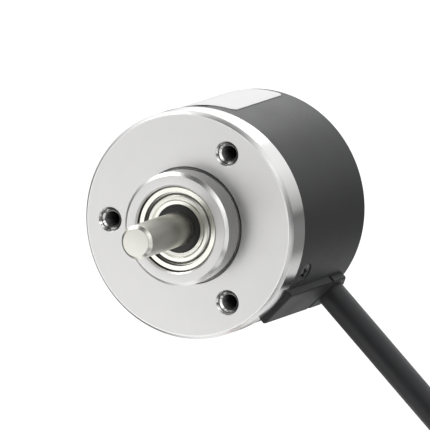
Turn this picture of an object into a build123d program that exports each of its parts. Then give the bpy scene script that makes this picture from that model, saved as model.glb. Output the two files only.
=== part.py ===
"""Incremental rotary encoder: 40 mm flange, 6 mm solid shaft, radial 5 mm cable.

The origin is the centre of the mounting face of the flange, on the shaft axis. +Z is up, the shaft
points along -Y and the body lies along +Y. Seen from the shaft end, +X is to the right.
Sizes are in millimetres. Places along the axis are Y values and are named ..._y.
"""
import os
from math import cos, hypot, radians, sin, tan

from build123d import *

os.makedirs("parts", exist_ok=True)

# Clearances
slip_gap = 0.02  # between pieces that are fitted by hand
turning_gap = 0.02  # between a ball and its races
loose_gap = 0.1

# Flange and its pilot boss
flange_radius = 20.0
flange_thickness = 5.25
flange_front_chamfer = 0.72
flange_rear_chamfer = 0.2
boss_radius = 10.0
boss_height = 4.9
boss_chamfer = 0.6
rim_wall = 1.75
rim_depth = 7.75
hub_wall = 1.7

# Mounting holes
mount_hole_count = 3
mount_hole_first_angle = 60.0
mount_circle_radius = 15.0
mount_hole_radius = 1.25
mount_hole_depth = 6.0
mount_hole_mouth_radius = 2.15
mount_pad_radius = 2.4
mount_pad_height = 1.5

# Shaft
shaft_radius = 3.0
shaft_reach = 20.4
shaft_tip_chamfer = 0.57
shaft_rear_chamfer = 0.3
shaft_relief_depth = 0.2
shaft_relief_width = 0.6
spacer_radius = 4.1
spacer_length = 4.4

# Ball bearings
bearing_bore_radius = 3.02
bearing_outer_radius = 7.5
bearing_width = 5.0
bearing_edge_chamfer = 0.25
inner_shoulder_radius = 4.15
outer_shoulder_radius = 6.3
ball_radius = 1.3
ball_count = 7
cage_wall = 1.0
cage_web = 0.25
shield_seat_radius = 6.45
shield_thickness = 0.15
shield_sink = 0.55
shield_bead_inset = 0.8
shield_bead_width = 0.55
shield_bead_slope = 0.25
shield_bead_sink = 0.15
shield_lip_sink = 0.34
bearing_sink = 0.7  # front bearing below the boss face
seat_edge_chamfer = 0.3
spring_height = 0.8
spring_sheet = 0.25
clip_thickness = 0.7
clip_groove_depth = 0.5
clip_eye_radius = 0.9
clip_half_gap_angle = 22.0

# Code disc and its hub
disc_radius = 12.8
disc_thickness = 0.5
track_radius = 11.6
slot_length = 1.4
slot_count = 36
slot_share = 0.5
disc_hub_radius = 6.5
disc_pilot_radius = 4.6
disc_hub_neck = 2.0
disc_hub_plate = 1.2
disc_pilot_length = 2.5
clamp_ring_thickness = 0.6
set_screw_radius = 0.6
shaft_tail = 0.6  # shaft beyond the disc hub

# Emitter side
emitter_angle = 90.0
holder_width = 7.0
holder_depth = 7.65
holder_gap = 0.2
led_radius = 1.5
led_length = 3.4
led_lens_gap = 1.2
lens_radius = 1.9
lens_edge = 0.4
lens_crown = 0.6
pin_radius = 0.25
pin_spacing = 2.54
pin_overhang = 0.5

# Circuit board side
air_gap = 0.5
board_edge_gap = 1.1
board_thickness = 1.2
board_centre_gap = 0.8
detector_width = 6.0
detector_length = 5.0
detector_height = 1.6
mask_thickness = 0.4
post_count = 3
post_inset = 1.91
post_across_flats = 3.0
post_stud_radius = 0.9
post_stud_length = 3.0
board_screw_head_radius = 1.7
board_screw_head_height = 1.2
board_screw_length = 4.0
driver_angle = -150.0
driver_distance = 10.6
driver_length = 6.2
driver_width = 4.0
driver_height = 1.5
driver_leg_pitch = 1.27
driver_leg_length = 0.8
driver_leg_width = 0.5
small_chip_angles = (88.0, 177.0, 20.0)
small_chip_distance = 10.4
small_chip_length = 1.6
small_chip_width = 0.8
small_chip_height = 0.6
small_chip_gap = 1.0
capacitor_angle = 60.0
capacitor_distance = 10.5
capacitor_radius = 2.0
capacitor_height = 4.6
capacitor_edge = 0.3
capacitor_bead_height = 1.1
capacitor_bead_slope = 0.2
capacitor_bead_depth = 0.15
header_length = 7.6
header_width = 4.2
header_height = 3.0
header_wall = 0.6
plug_height = 3.2

# Cover
cover_inset = 0.3  # side of the cover below the flange's
cover_wall = 1.0
cover_end_wall = 1.2
cover_edge_radius = 0.6
cover_front_gap = 0.1
body_length = 30.0
cover_screw_count = 3
cover_screw_first_angle = -26.5
cover_screw_y = 9.7
cover_screw_radius = 1.0
cover_screw_head_radius = 1.95
cover_screw_head_height = 0.5
cover_screw_recess = 0.62
cross_slot_width = 0.45
cross_slot_length = 2.2
seal_section_radius = 0.5
seal_y = 6.9

# Label
label_front_y = 8.7
label_length = 19.4
label_first_angle = 76.0
label_sweep = 102.0
label_thickness = 0.1
label_corner_radius = 1.3

# Cable outlet
cable_angle = -45.0
cable_radius = 2.5
cable_y = 26.2
pad_half_width = 3.7
pad_height = 1.05
pad_edge_chamfer = 0.22
pad_split_y = 22.4
pad_split_gap = 0.55
pad_end_y = 29.35
pad_corner_y = 27.2
pad_corner_half_width = 1.7
slot_half_width = 3.1
inner_lip_thickness = 1.3
inner_lip_end_gap = 0.5
sheath_inner_length = 5.7
wire_count = 5
wire_radius = 0.45
wire_pitch = 0.95
wire_bend_radius = 2.0
plug_distance = 6.0

# Free cable
cable_straight_end = 56.75
coil_centre_x = 46.0
coil_centre_y = -34.0
floor_z = -66.0
coil_inner_radius = 21.5
coil_lower_outer_radius = 39.1
coil_upper_outer_radius = 36.5
coil_edge_chamfer = 1.4
tail_x = 9.4
tail_overlap = 20.0
tail_length = 9.0
sleeve_wall = 0.45
sleeve_length = 9.5
sleeve_overhang = 1.5
lead_places = (162.0, 234.0, 90.0, 306.0, 18.0)  # round the sheath's end, from left to right
lead_circle_radius = 1.3
lead_radius = 0.55
lead_length = 34.0
lead_tip_radius = 0.4
lead_tip_length = 5.0
lead_fan = 2.6

# Worked-out places along the axis
boss_face_y = -boss_height
front_bearing_y = boss_face_y + bearing_sink
front_bearing_end_y = front_bearing_y + bearing_width
rear_bearing_y = front_bearing_end_y + spacer_length
rear_bearing_end_y = rear_bearing_y + bearing_width
rear_seat_y = rear_bearing_y - spring_height
clip_y = rear_bearing_end_y + slip_gap
hub_end_y = clip_y + clip_thickness + 2 * slip_gap + clip_groove_depth
rim_end_y = flange_thickness + rim_depth
disc_seat_y = rear_bearing_end_y + disc_hub_neck + disc_hub_plate
disc_end_y = disc_seat_y + disc_thickness
disc_hub_end_y = disc_seat_y + disc_pilot_length
shaft_end_y = disc_hub_end_y + shaft_tail
holder_end_y = flange_thickness + holder_depth
mask_y = disc_end_y + air_gap
detector_y = mask_y + mask_thickness
board_y = detector_y + detector_height
board_end_y = board_y + board_thickness
cover_y = flange_thickness + cover_front_gap
cover_floor_y = body_length - cover_end_wall

# Worked-out radii
cover_radius = flange_radius - cover_inset
cover_inner_radius = cover_radius - cover_wall
rim_outer_radius = cover_inner_radius - 2 * slip_gap
rim_inner_radius = rim_outer_radius - rim_wall
seat_radius = bearing_outer_radius + slip_gap
land_radius = outer_shoulder_radius + loose_gap
hub_radius = seat_radius + hub_wall
ball_circle_radius = (inner_shoulder_radius + outer_shoulder_radius) / 2 + 0.025
race_radius = ball_radius + turning_gap
lip_radius = cover_inner_radius - slip_gap
lip_inner_radius = lip_radius - inner_lip_thickness
pad_face_radius = cover_radius + pad_height
sheath_end_radius = cover_inner_radius - sheath_inner_length
board_radius = cover_inner_radius - board_edge_gap
board_centre_radius = disc_pilot_radius + board_centre_gap
board_notch_half_width = pad_half_width + 4 * loose_gap
board_notch_depth = board_radius - lip_inner_radius + loose_gap
post_circle_radius = rim_inner_radius - post_inset


def across(y):
    """Plane across the axis at y, seen from the front: its x is X, its y is Z, and -amount goes to +Y."""
    return Plane.XZ.offset(-y)


def outward(angle, distance, y=0.0):
    """Plane that faces away from the axis at an angle: its x is +Y and its y runs round the body."""
    away = (cos(radians(angle)), 0, sin(radians(angle)))
    return Plane(origin=(distance * away[0], y, distance * away[2]), x_dir=(0, 1, 0), z_dir=away)


def beside(angle, distance, y=0.0):
    """Plane through a line parallel to the axis: its x points away from the axis and its y is +Y."""
    away = (cos(radians(angle)), 0, sin(radians(angle)))
    side = (-sin(radians(angle)), 0, cos(radians(angle)))
    return Plane(origin=(distance * away[0], y, distance * away[2]), x_dir=away, z_dir=side)


def around(angle, distance):
    """Axis parallel to the shaft at an angle and distance from it."""
    return Axis((distance * cos(radians(angle)), 0, distance * sin(radians(angle))), (0, 1, 0))


def angles(first, count):
    return [first + 360.0 / count * k for k in range(count)]


def turned(profile):
    """Solid of revolution about the shaft axis from (radius, y) points."""
    with BuildPart() as piece:
        with BuildSketch(Plane.XY):
            with BuildLine():
                Polyline(*profile, close=True)
            make_face()
        revolve(axis=Axis.Y)
    return piece


def keep(name, piece):
    """Labels a finished piece and writes it as one node."""
    solid = piece.part if isinstance(piece, BuildPart) else piece
    solid.label = name
    export_step(solid, f"parts/{name}.step")


# Front flange: turned blank, bored for both bearings, with a rim that carries the cover
flange_profile = [
    (boss_radius - boss_chamfer, boss_face_y),
    (boss_radius, boss_face_y + boss_chamfer),
    (boss_radius, 0),
    (flange_radius - flange_front_chamfer, 0),
    (flange_radius, flange_front_chamfer),
    (flange_radius, flange_thickness - flange_rear_chamfer),
    (flange_radius - flange_rear_chamfer, flange_thickness),
    (rim_outer_radius, flange_thickness),
    (rim_outer_radius, rim_end_y - flange_rear_chamfer),
    (rim_outer_radius - flange_rear_chamfer, rim_end_y),
    (rim_inner_radius, rim_end_y),
    (rim_inner_radius, flange_thickness),
    (hub_radius, flange_thickness),
    (hub_radius, hub_end_y - flange_rear_chamfer),
    (hub_radius - flange_rear_chamfer, hub_end_y),
    (seat_radius, hub_end_y),
    (seat_radius, clip_y + clip_thickness + slip_gap),
    (seat_radius + clip_groove_depth, clip_y + clip_thickness + slip_gap),
    (seat_radius + clip_groove_depth, clip_y - slip_gap / 2),
    (seat_radius, clip_y - slip_gap / 2),
    (seat_radius, rear_seat_y),
    (land_radius, rear_seat_y),
    (land_radius, front_bearing_end_y),
    (seat_radius, front_bearing_end_y),
    (seat_radius, boss_face_y + seat_edge_chamfer),
    (seat_radius + seat_edge_chamfer, boss_face_y),
]
seal_groove_radius = cover_inner_radius - slip_gap - 2 * seal_section_radius
with BuildPart() as front_flange:
    with BuildSketch(Plane.XY):
        with BuildLine():
            Polyline(*flange_profile, close=True)
        make_face()
        with Locations((rim_outer_radius, seal_y)):
            Rectangle(
                2 * (rim_outer_radius - seal_groove_radius),
                2 * (seal_section_radius + loose_gap / 2),
                mode=Mode.SUBTRACT,
            )
    revolve(axis=Axis.Y)
    with BuildSketch(across(flange_thickness)):
        with PolarLocations(mount_circle_radius, mount_hole_count, mount_hole_first_angle):
            Circle(mount_pad_radius)
    extrude(amount=-mount_pad_height)
    with BuildSketch(across(0)):
        with PolarLocations(mount_circle_radius, mount_hole_count, mount_hole_first_angle):
            Circle(mount_hole_radius)
    extrude(amount=-mount_hole_depth, mode=Mode.SUBTRACT)
    for angle in angles(mount_hole_first_angle, mount_hole_count):
        with BuildSketch(beside(angle, mount_circle_radius)):
            with BuildLine():
                Polyline(
                    (0, 0),
                    (mount_hole_mouth_radius, 0),
                    (mount_hole_radius, mount_hole_mouth_radius - mount_hole_radius),
                    (0, mount_hole_mouth_radius - mount_hole_radius),
                    close=True,
                )
            make_face()
        revolve(axis=around(angle, mount_circle_radius), mode=Mode.SUBTRACT)
    with BuildSketch(across(flange_thickness)):
        with PolarLocations(post_circle_radius, post_count):
            Circle(post_stud_radius + slip_gap)
    extrude(amount=post_stud_length + loose_gap, mode=Mode.SUBTRACT)
    for angle in angles(cover_screw_first_angle, cover_screw_count):
        with BuildSketch(outward(angle, rim_inner_radius - rim_wall, cover_screw_y)):
            Circle(cover_screw_radius + slip_gap)
        extrude(amount=3 * rim_wall, mode=Mode.SUBTRACT)
keep("front_flange", front_flange)


# Ball bearings: two alike, front_y is the face that looks towards the shaft end
def bearing_profiles(front_y):
    """Closed (radius, y) outlines of the inner and the outer ring."""
    end_y = front_y + bearing_width
    edge = bearing_edge_chamfer
    inner = [
        (bearing_bore_radius, front_y),
        (inner_shoulder_radius - edge, front_y),
        (inner_shoulder_radius, front_y + edge),
        (inner_shoulder_radius, end_y - edge),
        (inner_shoulder_radius - edge, end_y),
        (bearing_bore_radius, end_y),
    ]
    recess = shield_sink + shield_thickness + slip_gap
    outer = [
        (bearing_outer_radius - edge, front_y),
        (bearing_outer_radius, front_y + edge),
        (bearing_outer_radius, end_y - edge),
        (bearing_outer_radius - edge, end_y),
        (shield_seat_radius, end_y),
        (shield_seat_radius, end_y - recess),
        (outer_shoulder_radius, end_y - recess),
        (outer_shoulder_radius, front_y + recess),
        (shield_seat_radius, front_y + recess),
        (shield_seat_radius, front_y),
    ]
    return inner, outer


def bearing_ring(outline, front_y):
    """Ring with the ball groove turned into it."""
    with BuildPart() as ring:
        with BuildSketch(Plane.XY):
            with BuildLine():
                Polyline(*outline, close=True)
            make_face()
            with Locations((ball_circle_radius, front_y + bearing_width / 2)):
                Circle(race_radius, mode=Mode.SUBTRACT)
        revolve(axis=Axis.Y)
    return ring


def bearing_shields(front_y):
    """Pressed sheet shields: a rim in the seat, a raised bead and a flat lip close to the inner ring."""
    bead_outer = shield_seat_radius - shield_bead_inset
    bead_inner = bead_outer - shield_bead_width
    line = [
        (shield_seat_radius - slip_gap, shield_sink),
        (bead_outer + shield_bead_slope, shield_sink),
        (bead_outer, shield_bead_sink),
        (bead_inner, shield_bead_sink),
        (bead_inner - shield_bead_slope, shield_lip_sink),
        (inner_shoulder_radius + loose_gap, shield_lip_sink),
    ]
    middle = front_y + bearing_width / 2
    with BuildPart() as pair:
        with BuildSketch(Plane.XY):
            with BuildLine():
                front = [(r, front_y + sink) for r, sink in line]
                back = [(r, front_y + sink + shield_thickness) for r, sink in reversed(line)]
                Polyline(*front, *back, close=True)
            make_face()
            mirror(about=Plane.XZ.offset(-middle))
        revolve(axis=Axis.Y)
    return pair


def bearing_balls(front_y):
    with BuildPart() as balls:
        with Locations(Plane.XZ.offset(-(front_y + bearing_width / 2))):
            with PolarLocations(ball_circle_radius, ball_count):
                Sphere(ball_radius)
    return balls


def bearing_cage(front_y):
    """Crown cage: a ring with a snap pocket for each ball."""
    middle = front_y + bearing_width / 2
    pocket_radius = ball_radius + 3 * turning_gap
    with BuildPart() as cage:
        with BuildSketch(across(middle - pocket_radius - cage_web)):
            Circle(ball_circle_radius + cage_wall / 2)
            Circle(ball_circle_radius - cage_wall / 2, mode=Mode.SUBTRACT)
        extrude(amount=-(pocket_radius + cage_web + ball_radius / 3))
        with Locations(Plane.XZ.offset(-middle)):
            with PolarLocations(ball_circle_radius, ball_count):
                Sphere(pocket_radius, mode=Mode.SUBTRACT)
    return cage


for place, bearing_y in (("front", front_bearing_y), ("rear", rear_bearing_y)):
    inner_outline, outer_outline = bearing_profiles(bearing_y)
    keep(f"{place}_bearing_inner_ring", bearing_ring(inner_outline, bearing_y))
    keep(f"{place}_bearing_outer_ring", bearing_ring(outer_outline, bearing_y))
    keep(f"{place}_bearing_shields", bearing_shields(bearing_y))
    keep(f"{place}_bearing_balls", bearing_balls(bearing_y))
    keep(f"{place}_bearing_cage", bearing_cage(bearing_y))

# Preload spring: a disc spring that pushes the rear outer ring against its retaining ring
spring_outer = bearing_outer_radius - loose_gap
spring_inner = shield_seat_radius + loose_gap
preload_spring = turned([
    (spring_outer, rear_seat_y),
    (spring_outer, rear_seat_y + spring_sheet),
    (spring_inner + spring_sheet, rear_bearing_y),
    (spring_inner, rear_bearing_y),
    (spring_inner, rear_bearing_y - spring_sheet),
    (spring_outer - spring_sheet, rear_seat_y),
])
keep("preload_spring", preload_spring)

# Internal retaining ring behind the rear bearing, with its two eyes
clip_outer = seat_radius + clip_groove_depth - slip_gap
clip_eye_distance = seat_radius - clip_eye_radius - loose_gap
clip_gap_x = 2 * clip_outer * sin(radians(clip_half_gap_angle))
clip_gap_y = -2 * clip_outer * cos(radians(clip_half_gap_angle))
with BuildPart() as retaining_ring:
    with BuildSketch(across(clip_y)):
        Circle(clip_outer)
        Circle(shield_seat_radius + 4 * loose_gap, mode=Mode.SUBTRACT)
        with BuildLine():
            Polyline((0, 0), (-clip_gap_x, clip_gap_y), (clip_gap_x, clip_gap_y), close=True)
        make_face(mode=Mode.SUBTRACT)
        for side in (-1, 1):
            eye_angle = radians(-90 + side * (clip_half_gap_angle + 6))
            with Locations((clip_eye_distance * cos(eye_angle), clip_eye_distance * sin(eye_angle))):
                Circle(clip_eye_radius)
                Circle(clip_eye_radius / 2, mode=Mode.SUBTRACT)
    extrude(amount=-clip_thickness)
keep("retaining_ring", retaining_ring)

# Shaft: plain front end and a journal a little larger, with a spacer ring between the inner rings
shaft = turned([
    (0, -shaft_reach),
    (shaft_radius - shaft_tip_chamfer, -shaft_reach),
    (shaft_radius, -shaft_reach + shaft_tip_chamfer),
    (shaft_radius, front_bearing_y - loose_gap - shaft_relief_width),
    (shaft_radius - shaft_relief_depth, front_bearing_y - loose_gap - shaft_relief_width),
    (shaft_radius - shaft_relief_depth, front_bearing_y - loose_gap),
    (bearing_bore_radius, front_bearing_y - loose_gap),
    (bearing_bore_radius, rear_bearing_end_y),
    (shaft_radius, rear_bearing_end_y),
    (shaft_radius, shaft_end_y - shaft_rear_chamfer),
    (shaft_radius - shaft_rear_chamfer, shaft_end_y),
    (0, shaft_end_y),
])
keep("shaft", shaft)

inner_spacer = turned([
    (bearing_bore_radius, front_bearing_end_y),
    (spacer_radius, front_bearing_end_y),
    (spacer_radius, rear_bearing_y),
    (bearing_bore_radius, rear_bearing_y),
])
keep("inner_ring_spacer", inner_spacer)

# Code disc hub: neck, plate that the disc seats on, and a pilot with two set screws
set_screw_y = disc_end_y + clamp_ring_thickness + (disc_hub_end_y - disc_end_y - clamp_ring_thickness) / 2
disc_hub_profile = [
    (shaft_radius + slip_gap, rear_bearing_end_y + slip_gap),
    (disc_pilot_radius, rear_bearing_end_y + slip_gap),
    (disc_pilot_radius, rear_bearing_end_y + disc_hub_neck),
    (disc_hub_radius, rear_bearing_end_y + disc_hub_neck),
    (disc_hub_radius, disc_seat_y),
    (disc_pilot_radius, disc_seat_y),
    (disc_pilot_radius, disc_hub_end_y),
    (shaft_radius + slip_gap, disc_hub_end_y),
]
with BuildPart() as disc_hub:
    with BuildSketch(Plane.XY):
        with BuildLine():
            Polyline(*disc_hub_profile, close=True)
        make_face()
    revolve(axis=Axis.Y)
    for angle in (0, 180):
        with BuildSketch(outward(angle, 0, set_screw_y)):
            Circle(set_screw_radius)
        extrude(amount=2 * disc_pilot_radius, mode=Mode.SUBTRACT)
keep("code_disc_hub", disc_hub)

with BuildPart() as set_screws:
    for angle in (0, 180):
        with BuildSketch(outward(angle, shaft_radius + slip_gap, set_screw_y)):
            Circle(set_screw_radius - slip_gap)
        extrude(amount=disc_pilot_radius - shaft_radius - loose_gap)
        with BuildSketch(outward(angle, disc_pilot_radius - loose_gap, set_screw_y)):
            RegularPolygon(set_screw_radius / 2, 6)
        extrude(amount=-(disc_pilot_radius - shaft_radius) / 2, mode=Mode.SUBTRACT)
keep("hub_set_screws", set_screws)

with BuildPart() as code_disc:
    with BuildSketch(across(disc_seat_y)):
        Circle(disc_radius)
        Circle(disc_pilot_radius + slip_gap, mode=Mode.SUBTRACT)
        with PolarLocations(track_radius, slot_count):
            Rectangle(slot_length, 2 * 3.1416 * track_radius / slot_count * slot_share, mode=Mode.SUBTRACT)
        with Locations((track_radius - 1.6 * slot_length, 0)):
            Rectangle(slot_length, slot_length / 2, mode=Mode.SUBTRACT)
    extrude(amount=-disc_thickness)
keep("code_disc", code_disc)

clamp_ring = turned([
    (disc_pilot_radius, disc_end_y),
    (disc_hub_radius, disc_end_y),
    (disc_hub_radius, disc_end_y + clamp_ring_thickness),
    (disc_pilot_radius, disc_end_y + clamp_ring_thickness),
])
keep("disc_clamp_ring", clamp_ring)

# Emitter holder: stands on the flange between hub and rim and looks at the track
holder_inner_radius = hub_radius + holder_gap
holder_height = rim_inner_radius - 3 * holder_gap - holder_inner_radius
led_front_y = holder_end_y - lens_edge - lens_crown - led_length - led_lens_gap
pin_distance = rim_inner_radius - 4 * holder_gap - pin_radius * 2
with BuildPart() as emitter_holder:
    with BuildSketch(outward(emitter_angle, holder_inner_radius, flange_thickness)):
        with Locations((holder_depth / 2, 0)):
            RectangleRounded(holder_depth, holder_width, 0.5)
    extrude(amount=holder_height)
    with BuildSketch(across(holder_end_y)):
        with Locations((track_radius * cos(radians(emitter_angle)), track_radius * sin(radians(emitter_angle)))):
            Circle(led_radius + slip_gap)
    extrude(amount=holder_end_y - led_front_y, mode=Mode.SUBTRACT)
    with BuildSketch(across(holder_end_y)):
        with Locations((track_radius * cos(radians(emitter_angle)), track_radius * sin(radians(emitter_angle)))):
            Circle(lens_radius + slip_gap)
    extrude(amount=lens_edge + lens_crown, mode=Mode.SUBTRACT)
    with BuildSketch(across(holder_end_y)):
        with Locations(Location((0, 0, 0), (0, 0, emitter_angle))):
            with Locations((pin_distance, pin_spacing / 2), (pin_distance, -pin_spacing / 2)):
                Rectangle(2 * pin_radius, 2 * pin_radius)
    extrude(amount=holder_depth / 2, mode=Mode.SUBTRACT)
keep("emitter_holder", emitter_holder)

led_dome_y = led_front_y + led_length - led_radius
with BuildPart() as emitter_led:
    with BuildSketch(beside(emitter_angle, track_radius)):
        with BuildLine():
            Polyline(
                (led_radius, led_dome_y),
                (led_radius, led_front_y),
                (0, led_front_y),
                (0, led_dome_y + led_radius),
            )
            RadiusArc((0, led_dome_y + led_radius), (led_radius, led_dome_y), led_radius)
        make_face()
    revolve(axis=around(emitter_angle, track_radius))
keep("emitter_led", emitter_led)

lens_y = holder_end_y - lens_edge - lens_crown
lens_dome_radius = (lens_radius**2 + lens_crown**2) / (2 * lens_crown)
with BuildPart() as collimating_lens:
    with BuildSketch(beside(emitter_angle, track_radius)):
        with BuildLine():
            Polyline(
                (lens_radius, lens_y + lens_edge),
                (lens_radius, lens_y),
                (0, lens_y),
                (0, lens_y + lens_edge + lens_crown),
            )
            RadiusArc(
                (0, lens_y + lens_edge + lens_crown),
                (lens_radius, lens_y + lens_edge),
                lens_dome_radius,
            )
        make_face()
    revolve(axis=around(emitter_angle, track_radius))
keep("collimating_lens", collimating_lens)

pin_start_y = holder_end_y - holder_depth / 2
with BuildPart() as emitter_pins:
    with BuildSketch(across(pin_start_y)):
        with Locations(Location((0, 0, 0), (0, 0, emitter_angle))):
            with Locations((pin_distance, pin_spacing / 2), (pin_distance, -pin_spacing / 2)):
                Rectangle(2 * pin_radius, 2 * pin_radius)
    extrude(amount=-(board_end_y + pin_overhang - pin_start_y))
keep("emitter_pins", emitter_pins)

# Main circuit board: round, notched at the cable, with the detector in front of it
with BuildPart() as main_board:
    with BuildSketch(across(board_y)):
        Circle(board_radius)
        Circle(board_centre_radius, mode=Mode.SUBTRACT)
        with PolarLocations(post_circle_radius, post_count):
            Circle(post_stud_radius + loose_gap, mode=Mode.SUBTRACT)
        with Locations(Location((0, 0, 0), (0, 0, cable_angle))):
            with Locations((board_radius, 0)):
                Rectangle(2 * board_notch_depth, 2 * board_notch_half_width, mode=Mode.SUBTRACT)
        with Locations(Location((0, 0, 0), (0, 0, emitter_angle))):
            with Locations((pin_distance, pin_spacing / 2), (pin_distance, -pin_spacing / 2)):
                Circle(pin_radius * 1.6, mode=Mode.SUBTRACT)
    extrude(amount=-board_thickness)
keep("main_circuit_board", main_board)

with BuildPart() as detector:
    with BuildSketch(across(detector_y)):
        with Locations(Location((0, 0, 0), (0, 0, emitter_angle))):
            with Locations((track_radius, 0)):
                Rectangle(detector_length, detector_width)
    extrude(amount=-detector_height)
keep("detector_chip", detector)

with BuildPart() as phase_mask:
    with BuildSketch(across(mask_y)):
        with Locations(Location((0, 0, 0), (0, 0, emitter_angle))):
            with Locations((track_radius, 0)):
                Rectangle(detector_length * 0.8, detector_width * 0.8)
                with GridLocations(0, detector_width * 0.16, 1, 4):
                    Rectangle(slot_length, detector_width * 0.07, mode=Mode.SUBTRACT)
    extrude(amount=-mask_thickness)
keep("phase_mask", phase_mask)

with BuildPart() as board_posts:
    with BuildSketch(across(flange_thickness)):
        with PolarLocations(post_circle_radius, post_count):
            RegularPolygon(post_across_flats / 2, 6, major_radius=False)
    extrude(amount=-(board_y - flange_thickness))
    with BuildSketch(across(flange_thickness)):
        with PolarLocations(post_circle_radius, post_count):
            Circle(post_stud_radius)
    extrude(amount=post_stud_length)
    with BuildSketch(across(board_y)):
        with PolarLocations(post_circle_radius, post_count):
            Circle(post_stud_radius + slip_gap)
    extrude(amount=board_screw_length, mode=Mode.SUBTRACT)
keep("board_posts", board_posts)

with BuildPart() as board_screws:
    with BuildSketch(across(board_end_y)):
        with PolarLocations(post_circle_radius, post_count):
            Circle(board_screw_head_radius)
    extrude(amount=-board_screw_head_height)
    with BuildSketch(across(board_end_y)):
        with PolarLocations(post_circle_radius, post_count):
            Circle(post_stud_radius)
    extrude(amount=board_screw_length)
    with BuildSketch(across(board_end_y + board_screw_head_height)):
        with PolarLocations(post_circle_radius, post_count):
            Rectangle(2 * board_screw_head_radius * 0.7, cross_slot_width)
            Rectangle(cross_slot_width, 2 * board_screw_head_radius * 0.7)
    extrude(amount=board_screw_head_height / 2, mode=Mode.SUBTRACT)
keep("board_screws", board_screws)

# Parts on the rear of the board
with BuildPart() as driver_chip:
    with BuildSketch(across(board_end_y + loose_gap)):
        with Locations(Location((0, 0, 0), (0, 0, driver_angle))):
            with Locations((driver_distance, 0)):
                Rectangle(driver_width, driver_length)
    extrude(amount=-driver_height)
    with BuildSketch(across(board_end_y)):
        with Locations(Location((0, 0, 0), (0, 0, driver_angle))):
            with Locations((driver_distance, 0)):
                with GridLocations(driver_width + driver_leg_length, driver_leg_pitch, 2, 4):
                    Rectangle(driver_leg_length, driver_leg_width)
    extrude(amount=-driver_height / 2)
keep("line_driver_chip", driver_chip)

with BuildPart() as capacitor:
    with BuildSketch(beside(capacitor_angle, capacitor_distance)):
        with BuildLine():
            Polyline(
                (0, board_end_y),
                (capacitor_radius, board_end_y),
                (capacitor_radius, board_end_y + capacitor_bead_height - capacitor_bead_slope),
                (capacitor_radius - capacitor_bead_depth, board_end_y + capacitor_bead_height),
                (capacitor_radius, board_end_y + capacitor_bead_height + capacitor_bead_slope),
                (capacitor_radius, board_end_y + capacitor_height - capacitor_edge),
                (capacitor_radius - capacitor_edge, board_end_y + capacitor_height),
                (0, board_end_y + capacitor_height),
                close=True,
            )
        make_face()
    revolve(axis=around(capacitor_angle, capacitor_distance))
keep("capacitor", capacitor)

with BuildPart() as small_chips:
    with BuildSketch(across(board_end_y)):
        for angle in small_chip_angles:
            with Locations(Location((0, 0, 0), (0, 0, angle))):
                with Locations((small_chip_distance, 0)):
                    with GridLocations(small_chip_length + small_chip_gap, small_chip_width + small_chip_gap, 2, 2):
                        Rectangle(small_chip_length, small_chip_width)
    extrude(amount=-small_chip_height)
keep("small_chips", small_chips)

# Wire header and plug, in line with the cable on the far side of the centre
header_angle = cable_angle + 180
header_place = Location((0, 0, 0), (0, 0, header_angle))
with BuildPart() as wire_header:
    with BuildSketch(across(board_end_y)):
        with Locations(header_place):
            with Locations((plug_distance + header_width / 2, 0)):
                Rectangle(header_width, header_length)
    extrude(amount=-header_height)
    with BuildSketch(across(board_end_y + header_wall)):
        with Locations(header_place):
            with Locations((plug_distance + header_width / 2, 0)):
                Rectangle(header_width - 2 * header_wall, header_length - 2 * header_wall)
    extrude(amount=-header_height, mode=Mode.SUBTRACT)
keep("wire_header", wire_header)

plug_y = board_end_y + header_wall
plug_inset = header_wall + slip_gap
with BuildPart() as wire_plug:
    with BuildSketch(across(plug_y)):
        with Locations(header_place):
            with Locations((plug_distance + header_width / 2, 0)):
                Rectangle(header_width - 2 * plug_inset, header_length - 2 * plug_inset)
    extrude(amount=-plug_height)
keep("wire_plug", wire_plug)


def along_cable(distance, side=0.0, y=cable_y):
    """Point at a distance from the shaft axis on the cable's line, moved sideways round the body."""
    away = (cos(radians(cable_angle)), sin(radians(cable_angle)))
    return (distance * away[0] - side * away[1], y, distance * away[1] + side * away[0])


with BuildPart() as inner_wires:
    for number in range(wire_count):
        side = (number - (wire_count - 1) / 2) * wire_pitch
        turn_distance = -(plug_distance + header_width / 2)
        with BuildLine() as wire_line:
            FilletPolyline(
                along_cable(sheath_end_radius, side),
                along_cable(turn_distance, side),
                along_cable(turn_distance, side, plug_y + plug_height),
                radius=wire_bend_radius,
            )
        with BuildSketch(wire_line.line ^ 0):
            Circle(wire_radius)
        sweep()
keep("inner_wires", inner_wires)

# Cover: deep cup with a slot for the cable, open to the front so that the grommet slides in
with BuildPart() as housing_cover:
    with BuildSketch(Plane.XY):
        with BuildLine():
            Polyline(
                (cover_inner_radius, cover_y),
                (cover_radius, cover_y),
                (cover_radius, body_length - cover_edge_radius),
            )
            RadiusArc(
                (cover_radius, body_length - cover_edge_radius),
                (cover_radius - cover_edge_radius, body_length),
                -cover_edge_radius,
            )
            Polyline(
                (cover_radius - cover_edge_radius, body_length),
                (0, body_length),
                (0, cover_floor_y),
                (cover_inner_radius, cover_floor_y),
                (cover_inner_radius, cover_y),
            )
        make_face()
    revolve(axis=Axis.Y)
    with BuildSketch(outward(cable_angle, lip_inner_radius - 1)):
        with Locations(((cable_y + flange_thickness) / 2, 0)):
            Rectangle(cable_y - flange_thickness, 2 * slot_half_width)
        with Locations((cable_y, 0)):
            Circle(slot_half_width)
    extrude(amount=cover_radius - lip_inner_radius + 3, mode=Mode.SUBTRACT)
    for angle in angles(cover_screw_first_angle, cover_screw_count):
        with BuildSketch(outward(angle, cover_inner_radius - 1, cover_screw_y)):
            Circle(cover_screw_radius + loose_gap)
        extrude(amount=3, mode=Mode.SUBTRACT)
        with BuildSketch(outward(angle, cover_radius - cover_screw_recess, cover_screw_y)):
            Circle(cover_screw_head_radius + loose_gap)
        extrude(amount=3, mode=Mode.SUBTRACT)
keep("housing_cover", housing_cover)

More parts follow.
